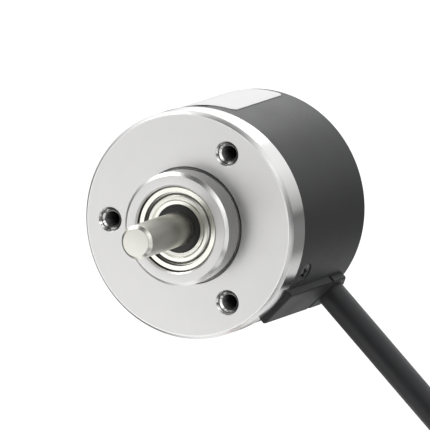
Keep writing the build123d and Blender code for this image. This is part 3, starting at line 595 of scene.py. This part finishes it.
class EncoderColours(bpy.types.PropertyGroup):
    """Base colours of the pieces that show"""

    aluminium: colour_setting("Aluminium", "Colour of the flange", (0.79, 0.785, 0.78))
    steel: colour_setting("Steel", "Colour of the shaft", (0.745, 0.74, 0.68))
    bearing: colour_setting("Bearing", "Colour of the bearing rings and shields", (0.91, 0.9, 0.83))
    cover: colour_setting("Cover", "Colour of the cover's coat", (0.045, 0.046, 0.048))
    outlet: colour_setting("Outlet", "Colour of the slot filler and the grommet", (0.027, 0.028, 0.03))
    cable: colour_setting("Cable", "Colour of the cable's sheath", (0.042, 0.043, 0.046))
    label: colour_setting("Label", "Colour of the bare label", (0.9, 0.9, 0.9))


def sizes():
    """Sizes in millimetres, by name."""
    group = bpy.context.scene.encoder_sizes
    return {name: getattr(group, name) / MM for name in EncoderSizes.__annotations__}


def colours():
    """Colours by name."""
    group = bpy.context.scene.encoder_colours
    return {name: tuple(getattr(group, name)) for name in EncoderColours.__annotations__}


# Operators


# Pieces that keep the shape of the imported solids, by finish
PACKED_PIECES = {
    "ground steel": ("inner_ring_spacer",),
    "polished ball": ("front_bearing_balls", "rear_bearing_balls"),
    "cage plastic": ("front_bearing_cage", "rear_bearing_cage"),
    "bearing steel": ("rear_bearing_inner_ring", "rear_bearing_outer_ring"),
    "pressed shield": ("rear_bearing_shields",),
    "blued spring": ("preload_spring", "retaining_ring", "hub_set_screws"),
    "machined brass": ("code_disc_hub", "board_posts"),
    "etched disc": ("code_disc", "phase_mask"),
    "blasted aluminium": ("disc_clamp_ring",),
    "black plastic": ("emitter_holder", "detector_chip", "line_driver_chip"),
    "tinted lens": ("emitter_led",),
    "clear lens": ("collimating_lens",),
    "gold pin": ("emitter_pins",),
    "solder mask": ("main_circuit_board",),
    "zinc screw": ("board_screws",),
    "capacitor can": ("capacitor",),
    "ceramic chip": ("small_chips",),
    "white connector": ("wire_header", "wire_plug"),
    "wire bands": ("inner_wires",),
    "seal rubber": ("cover_seal",),
    "cable sheath": ("cable_entry",),
}


class ENCODER_OT_finishes(bpy.types.Operator):
    """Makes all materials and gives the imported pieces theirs"""

    bl_idname = "encoder.finishes"
    bl_label = "Finishes"

    def execute(self, context):
        c = colours()
        flange_finish("blasted aluminium", c["aluminium"])
        # Painted shade: the aluminium threads are dark grey, for the shade deep in the tapped holes
        machined("threaded bore", (0.2, 0.2, 0.2), 0.5, 0.05, 0.002, 0.1)
        machined("ground steel", c["steel"], 0.3, 0.03, 0.0015, 0.08)
        # Painted shade inside 6.48 mm from the axis, for the shade in the front outer ring's recess
        machined("bearing steel", c["bearing"], 0.24, 0.04, 0.001, 0.06, bore=6.48)
        machined("pressed shield", c["bearing"], 0.28, 0.06, 0.001, 0.06)
        # Painted shade: the front inner ring is near black, for the deep shade round the shaft
        machined("dark ring", (0.05, 0.05, 0.048), 0.42, 0.04, 0.001, 0.08, metallic=0.6)
        machined("polished ball", (0.8, 0.8, 0.81), 0.1, 0.05, 0.0002, 0.03)
        machined("blued spring", (0.2, 0.19, 0.19), 0.35, 0.05, 0.001, 0.1)
        machined("machined brass", (0.72, 0.52, 0.24), 0.28, 0.05, 0.002, 0.1)
        machined("zinc screw", (0.55, 0.55, 0.56), 0.3, 0.08, 0.002, 0.12)
        machined("blackened screw", (0.13, 0.13, 0.135), 0.38, 0.08, 0.002, 0.12, metallic=0.7)
        etched_finish("etched disc", (0.62, 0.61, 0.58))
        etched_finish("gold pin", (0.85, 0.65, 0.3))
        etched_finish("tinned strand", (0.72, 0.71, 0.68))
        etched_finish("capacitor can", (0.7, 0.7, 0.72))
        powder_coat("dark coat", c["cover"])
        moulded("outlet rubber", c["outlet"], 0.56, 0.18, 0.01)
        moulded("black plastic", (0.03, 0.03, 0.032), 0.45, 0.12, 0.006)
        moulded("cage plastic", (0.2, 0.11, 0.055), 0.5, 0.1, 0.004)
        moulded("white connector", (0.78, 0.75, 0.66), 0.42, 0.14, 0.004)
        moulded("ceramic chip", (0.4, 0.28, 0.16), 0.6, 0.1, 0.004)
        moulded("seal rubber", (0.02, 0.02, 0.022), 0.4, 0.1, 0.004, coat=0.2)
        sheath_finish("cable sheath", c["cable"])
        label_finish("bare label", c["label"])
        board_finish("solder mask", (0.02, 0.16, 0.07))
        clear_finish("clear lens", (0.93, 0.95, 0.96), 0.04)
        clear_finish("tinted lens", (0.8, 0.74, 0.84), 0.1)
        insulation = [
            (0.5, 0.02, 0.02), (0.015, 0.015, 0.017), (0.02, 0.25, 0.06), (0.7, 0.7, 0.68),
            (0.65, 0.45, 0.03),
        ]
        for number, colour in enumerate(insulation):
            moulded(f"insulation {number + 1}", colour, 0.36, 0.1, 0.003)
        _, across = outward_frame(CABLE_ANGLE)
        banded_finish("wire bands", insulation, across, 0.95)
        for finish, nodes in PACKED_PIECES.items():
            for node in nodes:
                dress(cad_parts[node], finish)
        return {"FINISHED"}


class ENCODER_OT_flange(bpy.types.Operator):
    """Turned flange with its boss, bearing seats and countersunk threaded holes"""

    bl_idname = "encoder.flange"
    bl_label = "Flange"

    def execute(self, context):
        s = sizes()
        big, boss, top = s["flange_radius"], s["boss_radius"], -s["boss_height"]
        rear = s["flange_thickness"]
        spigot, spigot_end, seal, wall = 18.66, 13.0, 17.68, 16.91
        neck, neck_end, seat, ring_groove, bore = 9.22, 11.63, 7.52, 8.02, 6.4
        corners = [
            (boss - 0.6, top, 0.1), (boss, top + 0.6, 0.1), (boss, 0.25, 0.08), (boss + 0.16, 0.25, 0.08),
            (boss + 0.34, 0.0, 0.08), (big - 0.55, 0.0, 0.08), (big, 0.76, 0.08), (big, rear - 0.2, 0.06),
            (big - 0.2, rear, 0.06), (spigot, rear, 0.04), (spigot, 6.35, 0.04), (seal, 6.35, 0.04),
            (seal, 7.45, 0.04), (spigot, 7.45, 0.04), (spigot, spigot_end - 0.2, 0.05),
            (spigot - 0.2, spigot_end, 0.05), (wall, spigot_end, 0.05), (wall, rear, 0.2), (neck, rear, 0.2),
            (neck, neck_end - 0.2, 0.05), (neck - 0.2, neck_end, 0.05), (seat, neck_end, 0.04),
            (seat, 10.94, 0.04), (ring_groove, 10.94, 0.04), (ring_groove, 10.21, 0.04), (seat, 10.21, 0.04),
            (seat, 4.4, 0.04), (bore, 4.4, 0.04), (bore, 0.8, 0.04), (seat, 0.8, 0.04),
            (seat, top + 0.3, 0.06), (seat + 0.3, top, 0.06),
        ]
        outline = rounded([q[:2] for q in corners], [q[2] for q in corners], 4)
        flange = turned("flange", outline, segments=256)
        drill = [(0.0, -1.0), (2.85, -1.0), (2.26, -0.06), (2.17, 0.06), (1.88, 0.35), (1.83, 0.45),
                 (1.83, 0.72), (1.5, 1.05), (1.5, 5.2), (0.0, 6.0)]
        cutters, threads = [], []
        for degrees in MOUNT_ANGLES:
            angle = math.radians(degrees)
            at = (MOUNT_CIRCLE * math.cos(angle), MOUNT_CIRCLE * math.sin(angle))
            cutters.append(turned("drill", drill, closed=False, centre=at, segments=64))
            threads.append(self.thread(at))
        cut_by(flange, cutters)
        placed(fine_edges(flange), "blasted aluminium", "turned_aluminium", "housing", "front_flange")
        thread = fine_edges(joined("mounting_threads", threads))
        # The threads' dark finish is painted shade inside the holes
        placed(thread, "threaded bore", "turned_aluminium", "housing")
        return {"FINISHED"}

    def thread(self, at, pitch=0.5, turns=8, steps=40):
        """Threaded sleeve in a hole: its inner radius is a triangle wave of y minus the helix's advance."""
        crest, depth, sleeve, start = 1.26, 0.24, 1.53, 1.08
        angle = np.linspace(0, 2 * math.pi, steps, endpoint=False)
        y = np.linspace(start, start + turns * pitch, turns * 8 + 1)
        phase = (y[:, None] / pitch + angle[None, :] / (2 * math.pi)) % 1.0
        radius = crest + depth * np.abs(2 * phase - 1)
        radius[0], radius[-1] = 1.49, 1.49
        radius = np.vstack([radius, np.full((2, steps), sleeve)])
        along = np.concatenate([y, [y[-1], y[0]]])[:, None] + 0 * radius
        grid = np.stack([at[0] + radius * np.cos(angle), along, at[1] + radius * np.sin(angle)], -1)
        return outwards(mesh_piece("thread", grid.reshape(-1, 3), wrapped(len(grid), steps, True)))


class ENCODER_OT_shaft(bpy.types.Operator):
    """Ground shaft with a chamfered tip and its journal"""

    bl_idname = "encoder.shaft"
    bl_label = "Shaft"

    def execute(self, context):
        s = sizes()
        r, tip = s["shaft_radius"], s["shaft_tip"]
        end = reach("shaft")[1][1]
        journal = reach("front_bearing_inner_ring")[0][1]
        seat, seat_end, chamfer = r + 0.02, 10.25, 0.57
        corners = [
            (-r, tip, 0.01), (r - chamfer, tip, 0.1), (r, tip + chamfer, 0.12), (r, journal - 0.1, 0.01),
            (seat, journal - 0.05, 0.01), (seat, seat_end - 0.05, 0.01), (r, seat_end, 0.01),
            (r, end - 0.3, 0.08), (r - 0.3, end, 0.08), (-r, end, 0.01),
        ]
        outline = from_axis([q[:2] for q in corners], [q[2] for q in corners], 5)
        shaft = turned("shaft_bar", outline, closed=False)
        placed(fine_edges(shaft), "ground steel", "shaft_steel", "rotor", "shaft")
        return {"FINISHED"}


class ENCODER_OT_bearing(bpy.types.Operator):
    """Front ball bearing: outer ring, inner ring and the two pressed shields"""

    bl_idname = "encoder.bearing"
    bl_label = "Front bearing"

    def execute(self, context):
        front = reach("front_bearing_outer_ring")[0][1]
        middle, back = front + 2.5, front + 5.0
        land, recess, step = 6.3, 6.45, 0.72
        outer = [(7.25, front), (7.5, front + 0.25), (7.5, back - 0.25), (7.25, back), (recess, back),
                 (recess, back - step), (land, back - step)]
        rear_side = rounded(outer, [0.06] * 5 + [0.02, 0.001], 4)[5:-5]
        front_side = [(land, front + step), (recess, front + step), (recess, front), (7.25, front)]
        ring = turned("bearing_outer_race", np.vstack([rear_side, self.groove(middle, land), front_side]))
        placed(fine_edges(ring), "bearing steel", "bearing_steel", "housing", "front_bearing_outer_ring")
        bore, land = 3.02, 4.15
        front_side = [(bore, front), (3.85, front), (4.07, front + 0.1), (land, front + 0.3)]
        rear_side = [(land, back - 0.3), (3.9, back), (bore, back)]
        ring = turned("bearing_inner_race", np.vstack([front_side, self.groove(middle, land), rear_side]))
        # The inner ring's near-black finish is painted shade round the shaft
        placed(fine_edges(ring), "dark ring", "ring_face_dark", "rotor", "front_bearing_inner_ring")
        shields = [self.shield(front, 1), self.shield(back, -1)]
        shields = fine_edges(joined("bearing_shields", shields))
        placed(shields, "pressed shield", "shield_steel", "housing", "front_bearing_shields")
        return {"FINISHED"}

    def groove(self, middle, land):
        """Ball groove of a ring as an arc, between the two places where it reaches the ring's land."""
        balls, radius = 5.25, 1.32
        side = math.copysign(1.0, land - balls)
        half = side * math.sqrt(radius**2 - (land - balls) ** 2)
        along = np.linspace(half, -half, 17)
        return np.stack([balls + side * np.sqrt(radius**2 - along**2), middle + along], 1)

    def shield(self, face, sign):
        """Pressed sheet ring with a raised middle, set back from one face of the bearing."""
        sheet = 0.15
        line = np.array([(6.43, 0.56), (6.2, 0.56), (5.75, 0.19), (5.15, 0.15), (4.88, 0.36), (4.25, 0.36)])
        loop = np.vstack([line, line[::-1] + [0, sheet]])
        outline = rounded(loop, [0.04, 0.12, 0.16, 0.16, 0.12, 0.03, 0.03, 0.2, 0.1, 0.1, 0.2, 0.04], 4)
        return turned("shield", np.stack([outline[:, 0], face + sign * outline[:, 1]], 1))


class ENCODER_OT_cover(bpy.types.Operator):
    """Coated cup with its cable slot and screw seats, and the recessed screws"""

    bl_idname = "encoder.cover"
    bl_label = "Cover"

    def execute(self, context):
        s = sizes()
        r, end = s["cover_radius"], s["body_end"]
        front = reach("housing_cover")[0][1]
        wall, base, half = 1.0, 1.2, 3.1
        loop = [(-r, end), (r, end), (r, front), (r - wall, front), (r - wall, end - base), (-r, end - base)]
        outline = from_axis(loop, [0.01, 0.62, 0.08, 0.08, 0.2, 0.01], 8)
        cover = turned("cover_cup", outline, closed=False, segments=256)
        slot = np.vstack([[(front - 1, -half)], slot_end(half, 33), [(front - 1, half)]])
        cutters = [lofted("slot", [on_side(CABLE_ANGLE, slot, height) for height in (16.3, 22.0)])]
        seat = [(1.1, 17.0), (1.1, HEAD_SEAT), (2.05, HEAD_SEAT), (2.05, 19.55), (2.17, 19.72), (2.2, 21.0)]
        heads = []
        for degrees in SCREW_ANGLES:
            angle = math.radians(degrees)
            cutters.append(lofted("seat", self.circles(angle, seat, 48)))
            heads.append(self.screw(angle))
        cut_by(cover, cutters)
        placed(fine_edges(cover, sharp=38.0), "dark coat", "cover_dark", "housing", "housing_cover")
        screws = fine_edges(joined("cover_screw_set", heads), sharp=28.0)
        placed(screws, "blackened screw", "screw_steel", "housing", "cover_screws")
        return {"FINISHED"}

    def circles(self, angle, rows, steps):
        """Circles round a screw's axis, from their radii and their heights over the body's axis."""
        turn = np.linspace(0, 2 * math.pi, steps, endpoint=False)
        disc = np.stack([np.cos(turn), np.sin(turn)], 1)
        return [on_side(angle, disc * radius + [SCREW_Y, 0], height) for radius, height in rows]

    def screw(self, angle, rings=40, steps=96):
        """Screw with a domed head: the height over the head is a low dome less a cross-shaped recess.

        The recess is the larger of two bars' depths, each falling off towards its ends and sides.
        """
        rim, brim, dome, depth, twist = 1.88, 19.46, 0.12, 0.9, 0.35
        turn = np.linspace(0, 2 * math.pi, steps, endpoint=False)[None, :] - twist
        radius = np.linspace(rim, 0.03, rings)[:, None]
        a, b = radius * np.cos(turn), radius * np.sin(turn)
        ends = [np.clip((1.3 - np.abs(way)) / 0.25, 0, 1) for way in (a, b)]
        sides = [np.clip((0.4 - np.abs(way)) / 0.12, 0, 1) for way in (b, a)]
        cross = np.maximum(ends[0] * sides[0], ends[1] * sides[1])
        height = brim + dome * (1 - (radius / rim) ** 2) - depth * cross
        shank = [(0.98, 16.95), (1.0, 17.0), (1.0, HEAD_SEAT), (1.95, HEAD_SEAT), (1.95, 19.4), (1.93, 19.44)]
        return lofted("screw", self.circles(angle, shank + list(zip(radius[:, 0], height)), steps))


class ENCODER_OT_label(bpy.types.Operator):
    """Thin white film wrapped over the cover, left bare"""

    bl_idname = "encoder.label"
    bl_label = "Label"

    def execute(self, context):
        """The film is a stack of loops: out along its underside, over its edge and back in on top."""
        s = sizes()
        glue, soft_edge, corner, spacing, rings = 0.02, 0.03, 1.3, 0.5, 60
        inner = s["cover_radius"] + glue
        outer = inner + s["label_thickness"]
        low, high = reach("label")[0][1], reach("label")[1][1]
        first, last = np.radians([76.0, 178.0]) * outer
        edge = rounded([(low, first), (high, first), (high, last), (low, last)], corner, 10)
        middle = edge.mean(0)
        parts = []
        for start, step in zip(edge, np.roll(edge, -1, 0) - edge):
            count = 1 + int(math.hypot(*step) / spacing)
            parts.append(start + step * np.linspace(0, 1, count, endpoint=False)[:, None])
        edge = np.vstack(parts)
        inwards = np.linspace(1, 0.02, rings)
        share = np.concatenate([inwards[::-1], [1.0], inwards])[:, None, None]
        radius = np.repeat([inner, outer - soft_edge, outer], [rings, 1, rings])[:, None]
        flat = middle + (edge - middle) * share
        angle = flat[..., 1] / outer
        grid = np.stack([radius * np.cos(angle), flat[..., 0], radius * np.sin(angle)], -1)
        label = lofted("label_film", grid)
        placed(fine_edges(label), "bare label", "label_white", "housing", "label")
        return {"FINISHED"}


class ENCODER_OT_outlet(bpy.types.Operator):
    """Slot filler and cable grommet: grooved blocks that slide into the cover's slot"""

    bl_idname = "encoder.outlet"
    bl_label = "Cable outlet"

    def execute(self, context):
        half, neck, front = 3.7, 3.08, reach("slot_filler")[0][1]
        rear = [(22.125, -half), (22.125, half)]
        filler = self.block(
            "slot_filler_block", self.outline(front, rear),
            self.outline(front, [(22.4, -neck), (22.4, neck)]), self.outline(13.2, rear))
        placed(filler, "outlet rubber", "outlet_rubber", "housing", "slot_filler")
        front = 22.675
        rear = [(27.2, -half), (29.35, -1.7), (29.35, 1.7), (27.2, half)]
        grommet = self.block(
            "cable_grommet_block", self.outline(front, rear), self.outline(22.42, slot_end(neck, 25)),
            self.outline(front, [(28.3, -half), (28.3, half)]))
        placed(grommet, "outlet rubber", "outlet_rubber", "housing", "cable_grommet")
        return {"FINISHED"}

    def outline(self, front, rear):
        """Closed outline in (y, round): a rear side, and straight sides from its ends to the front."""
        low, high = (front, rear[0][1]), (front, rear[-1][1])
        return sampled([[low, rear[0]], rear, [rear[-1], high], [high, low]])

    def block(self, name, block, neck, lip):
        """Loops from the lip inside the cover, through the neck, to the chamfered outer face."""
        lip_end, wall, inset = 17.38, 18.68, 0.22
        middle = (block.min(0) + block.max(0)) / 2
        half = (block.max(0) - block.min(0)) / 2
        small = middle + (block - middle) * (1 - inset / half)
        loops = [
            (lip, lip_end), (lip, on_cylinder(lip, wall)), (neck, on_cylinder(neck, wall)),
            (neck, on_cylinder(neck, OUTLET_SEAT)), (block, on_cylinder(block, OUTLET_SEAT)),
            (block, OUTLET_FACE - inset), (small, OUTLET_FACE),
        ]
        piece = lofted(name, [on_side(CABLE_ANGLE, outline, height) for outline, height in loops])
        return fine_edges(piece, 0.05, 25.0)


class ENCODER_OT_cable(bpy.types.Operator):
    """Cable from the grommet down into its put-away coil, with the stripped end"""

    bl_idname = "encoder.cable"
    bl_label = "Cable"

    def execute(self, context):
        radius = sizes()["cable_radius"]
        away, _ = outward_frame(CABLE_ANGLE)
        route = [away * out + [0, OUTLET_Y, 0] for out in (OUTLET_FACE, 39.75, 56.75)]
        route += [(61.5, 18.0, -54.0), (74.5, 2.0, -57.8), (79.2, -20.5, HIGH_LAYER)]
        tail = [(TAIL_X, -14.0, LOW_LAYER), (TAIL_X, TAIL_END, LOW_LAYER)]
        points = np.vstack([route, self.coil((46.0, -34.0)), tail])
        cable = self.cord("signal_cable", points, radius)
        placed(cable, "cable sheath", "cable_sheath", "housing", "cable", "cable_coil", "cable_tail")
        sleeve = self.sleeve((TAIL_X, LOW_LAYER))
        placed(sleeve, "seal rubber", "outlet_rubber", "housing", "cable_end_sleeve")
        leads, tips = [], []
        for number, degrees in enumerate((162.0, 234.0, 90.0, 306.0, 18.0)):
            line = self.lead_line(number, math.radians(degrees))
            lead = self.cord(f"lead_{number + 1}", line, LEAD_RADIUS)
            placed(lead, f"insulation {number + 1}", "wire_insulation", "housing")
            leads.append((lead, line))
            tips.append(self.tip(line))
        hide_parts("cable_leads")
        tips = fine_edges(joined("tinned_tips", tips), sharp=60.0)
        placed(tips, "tinned strand", "tinned_copper", "housing", "lead_tips")
        self.length(cable)
        2 * radius * MM
        for lead, line in leads:
            self.length(lead)
        return {"FINISHED"}

    def coil(self, centre):
        """Turns seen from above, clockwise: radius and height are smooth functions of the turn's angle.

        The top layer winds inwards for two turns, and the bottom layer outwards until it meets the tail.
        """
        start, inner, end = 34.0, 24.0, 36.6
        first = math.radians(8.0)
        top, bottom = 4 * math.pi, 5 * math.pi + first
        a = np.arange(1, 28) / 28.0
        b = np.arange(0, 37) / 36.0
        turn = np.concatenate([a * top, top + b * bottom])
        radius = np.concatenate([start + (inner - start) * a, inner + (end - inner) * b])
        drop = np.clip((turn - top + 0.5) / 1.3, 0, 1)
        height = HIGH_LAYER - (HIGH_LAYER - LOW_LAYER) * drop * drop * (3 - 2 * drop)
        angle = first - turn
        return np.stack([centre[0] + radius * np.cos(angle), centre[1] + radius * np.sin(angle), height], -1)

    def cord(self, name, points, radius):
        """Round cord on one smooth spline of order 3 with the route's points as its control points."""
        curve = bpy.data.curves.new(name, "CURVE")
        curve.dimensions = "3D"
        curve.bevel_depth = radius * MM
        curve.bevel_resolution = 6
        curve.resolution_u = 10
        curve.use_fill_caps = True
        spline = curve.splines.new("NURBS")
        spline.points.add(len(points) - 1)
        values = np.hstack([np.asarray(points) * MM, np.ones((len(points), 1))])
        spline.points.foreach_set("co", values.ravel())
        spline.order_u = 3
        spline.use_endpoint_u = True
        return linked(name, curve)

    def length(self, piece):
        """Length of a curve's own line, in metres."""
        bare = piece.data.copy()
        bare.bevel_depth = 0.0
        probe = bpy.data.objects.new("probe", bare)
        line = vertices(bpy.data.meshes.new_from_object(probe))
        bpy.data.objects.remove(probe)
        return float(np.linalg.norm(np.diff(line, axis=0), axis=1).sum())

    def sleeve(self, at):
        """Shrunk sleeve: it grips the sheath and narrows where it runs past its end."""
        end = TAIL_END
        loop = [(2.53, end - 8), (2.95, end - 8), (2.95, end - 0.1), (2.7, end + 1.5), (2.45, end + 1.5),
                (2.53, end - 0.1)]
        outline = rounded(loop, [0.05, 0.12, 0.8, 0.12, 0.05, 0.4], 5)
        return fine_edges(turned("shrink_sleeve", outline, centre=at, segments=64))

    def lead_line(self, number, place):
        """Control points of one lead: straight out of the sheath, then down and outwards."""
        circle_radius, spread = 1.3, number - 2
        x, z = TAIL_X + circle_radius * math.cos(place), LOW_LAYER + circle_radius * math.sin(place)
        return np.array([
            (x, TAIL_END, z), (x, TAIL_END + LEAD_LENGTH * 0.2, z),
            (TAIL_X + 2.6 * spread, TAIL_END + LEAD_LENGTH * 0.55, FLOOR_Z + 2 * LEAD_RADIUS),
            (TAIL_X + 5.2 * spread, TAIL_END + LEAD_LENGTH * 0.95, FLOOR_Z + LEAD_RADIUS)])

    def tip(self, line, strands=7, length=5.0):
        """Twisted strands: six round one, each a tube whose centre turns round the lead's line."""
        radius, orbit = 0.13, 0.26
        along = line[-1] - line[-2]
        along = along / np.linalg.norm(along)
        across = np.cross(along, [0, 0, 1.0])
        across = across / np.linalg.norm(across)
        up = np.cross(across, along)
        t = np.linspace(0, 1, 15)[:, None]
        ring = np.linspace(0, 2 * math.pi, 8, endpoint=False)[None, :]
        pieces = []
        for number in range(strands):
            twist = number * math.pi / 3 + 2.2 * math.pi * t
            out = orbit if number else 0.0
            u = out * np.cos(twist) + radius * np.cos(ring)
            v = out * np.sin(twist) + radius * np.sin(ring)
            offset = u[..., None] * across + v[..., None] * up
            pieces.append(lofted("strand", line[-1] + (t * length + 0 * ring)[..., None] * along + offset))
        return joined("tip", pieces)


class ENCODER_OT_stage(bpy.types.Operator):
    """Floor, lamps, world and the camera at the photograph's angle"""

    bl_idname = "encoder.stage"
    bl_label = "Stage"

    def execute(self, context):
        scene = context.scene
        scene.view_settings.view_transform = "Standard"
        self.floor()
        self.world(scene)
        self.lamp("key", (-0.75, -0.3, 0.9), (0.6, 0.6), 5.5)
        self.lamp("top", (-0.15, 0.75, 0.8), (0.7, 0.7), 3.5)
        self.lamp("edge", (1.0, -0.55, 0.25), (0.34, 1.3), 1.8)
        self.camera(scene)
        return {"FINISHED"}

    def floor(self):
        """Ground, white to the camera. Reflections see it glow in front, at the right and close by."""
        half, z = 6.0, (FLOOR_Z - 0.05) * MM
        mesh = bpy.data.meshes.new("floor")
        corners = [(-half, -half, z), (half, -half, z), (half, half, z), (-half, half, z)]
        mesh.from_pydata(corners, [], [(0, 1, 2, 3)])
        floor = linked("floor", mesh)
        look = Finish("pale floor", Base_Color=(0.28, 0.28, 0.28, 1.0), Roughness=0.9, Specular_IOR_Level=0.1)
        camera = look.add("ShaderNodeLightPath", output="Is Camera Ray")
        glossy, through = camera.output("Is Glossy Ray"), camera.output("Is Transmission Ray")
        distance = (look.x * look.x + look.y * look.y).root()
        front_left = ((look.x * -0.59 - look.y * 0.81) / distance).above(0.88, 0.16)
        right = ((look.x * 0.9 - look.y * 0.44) / distance).above(0.95, 0.05)
        glow = (front_left * 1.15 + right * 0.8) * (1 - distance.above(0.8, 0.8))
        behind = look.y - 0.06
        near = (look.x * look.x + behind * behind).root()
        dimmer = (look.y.above(0.08, 0.1) * -0.4 + 0.85) * look.x.above(-0.035, 0.03)
        glow = glow.maths("MAXIMUM", glow, (1 - near.above(0.13, 0.05)) * dimmer)
        shown = camera * 0.86 + (glossy + through) * glow
        look.shader.inputs["Emission Color"].default_value = (1.0, 1.0, 1.0, 1.0)
        look.set(Emission_Strength=shown)
        mesh.materials.append(look.material)

    def world(self, scene):
        """White to the camera. Reflections see a sky with a dark gap overhead, and two soft sides."""
        world = bpy.data.worlds.new("studio")
        world.use_nodes = True
        tree = world.node_tree
        camera = add_node(tree, "ShaderNodeLightPath", output="Is Camera Ray")
        glossy = camera.output("Is Glossy Ray")
        place = add_node(tree, "ShaderNodeTexCoord", output="Generated")
        parts = add_node(tree, "ShaderNodeSeparateXYZ", sockets={"Vector": place})
        across, away, up = (parts.output(axis) for axis in "XYZ")
        gap = (up - away * 0.35).above(0.96, 0.14)
        sky = (up + away * 0.3).above(0.36, 0.5) * (1 - gap)
        front_left = (across * -0.59 - away * 0.81 - up * 0.4).above(0.88, 0.16)
        back_left = (across * -0.46 + away * 0.89 - up * 0.4).above(0.88, 0.2)
        sides = front_left * 1.3 + back_left * 0.6
        strength = camera + glossy * (sky + sides + 0.06) + (1 - camera - glossy) * 0.35
        back = tree.nodes["Background"]
        tree.links.new(strength.socket, back.inputs["Strength"])
        back.inputs["Color"].default_value = (1.0, 1.0, 1.0, 1.0)
        scene.world = world

    def lamp(self, name, place, size, power):
        """Rectangular lamp aimed at the encoder."""
        data = bpy.data.lights.new(name, "AREA")
        data.shape = "RECTANGLE"
        data.size, data.size_y = size
        data.energy = power
        lamp = linked(name, data)
        lamp.location = place
        aim = Vector((0.0, 0.0, -0.01)) - Vector(place)
        lamp.rotation_euler = aim.to_track_quat("-Z", "Y").to_euler()

    def camera(self, scene):
        """Camera 3.3 m away, from the photograph's azimuth, elevation and roll."""
        azimuth, elevation, roll = (math.radians(v) for v in (26.0464, 9.2806, -0.1595))
        distance, focal_pixels = 3300.0, 19106.85
        aside, upwards = 4.6653, 1.7907
        level = np.array([math.cos(azimuth), math.sin(azimuth), 0.0])
        flat = math.cos(elevation)
        ahead = np.array([-level[1] * flat, level[0] * flat, -math.sin(elevation)])
        upright = np.cross(level, ahead)
        right = math.cos(roll) * level + math.sin(roll) * upright
        up = math.cos(roll) * upright - math.sin(roll) * level
        place = (-ahead * distance + aside * right + upwards * up) * MM
        data = bpy.data.cameras.new("camera")
        data.sensor_width = 36.0
        data.lens = focal_pixels / PHOTO_PIXELS * data.sensor_width
        data.clip_start, data.clip_end = 0.1, 60.0
        scene.camera = linked("camera", data)
        turn = Matrix((right, up, -ahead)).transposed()
        scene.camera.matrix_world = Matrix.Translation(place) @ turn.to_4x4()


STEPS = ("finishes", "flange", "shaft", "bearing", "cover", "label", "outlet", "cable", "stage")


class ENCODER_PT_panel(bpy.types.Panel):
    """Lists the pieces of the encoder and its settings"""

    bl_label = "Encoder"
    bl_idname = "ENCODER_PT_panel"
    bl_space_type = "VIEW_3D"
    bl_region_type = "UI"
    bl_category = "Encoder"

    def draw(self, context):
        for name in EncoderSizes.__annotations__:
            self.layout.prop(context.scene.encoder_sizes, name)
        for name in EncoderColours.__annotations__:
            self.layout.prop(context.scene.encoder_colours, name)
        for step in STEPS:
            self.layout.operator(f"encoder.{step}")


CLASSES = (
    EncoderSizes, EncoderColours, ENCODER_OT_finishes, ENCODER_OT_flange, ENCODER_OT_shaft,
    ENCODER_OT_bearing, ENCODER_OT_cover, ENCODER_OT_label, ENCODER_OT_outlet, ENCODER_OT_cable,
    ENCODER_OT_stage, ENCODER_PT_panel,
)


def register():
    for kind in CLASSES:
        bpy.utils.register_class(kind)
    bpy.types.Scene.encoder_sizes = bpy.props.PointerProperty(type=EncoderSizes)
    bpy.types.Scene.encoder_colours = bpy.props.PointerProperty(type=EncoderColours)


def unregister():
    del bpy.types.Scene.encoder_sizes
    del bpy.types.Scene.encoder_colours
    for kind in reversed(CLASSES):
        bpy.utils.unregister_class(kind)


def main():
    register()
    for step in STEPS:
        getattr(bpy.ops.encoder, step)()


if __name__ == "__main__":
    main()
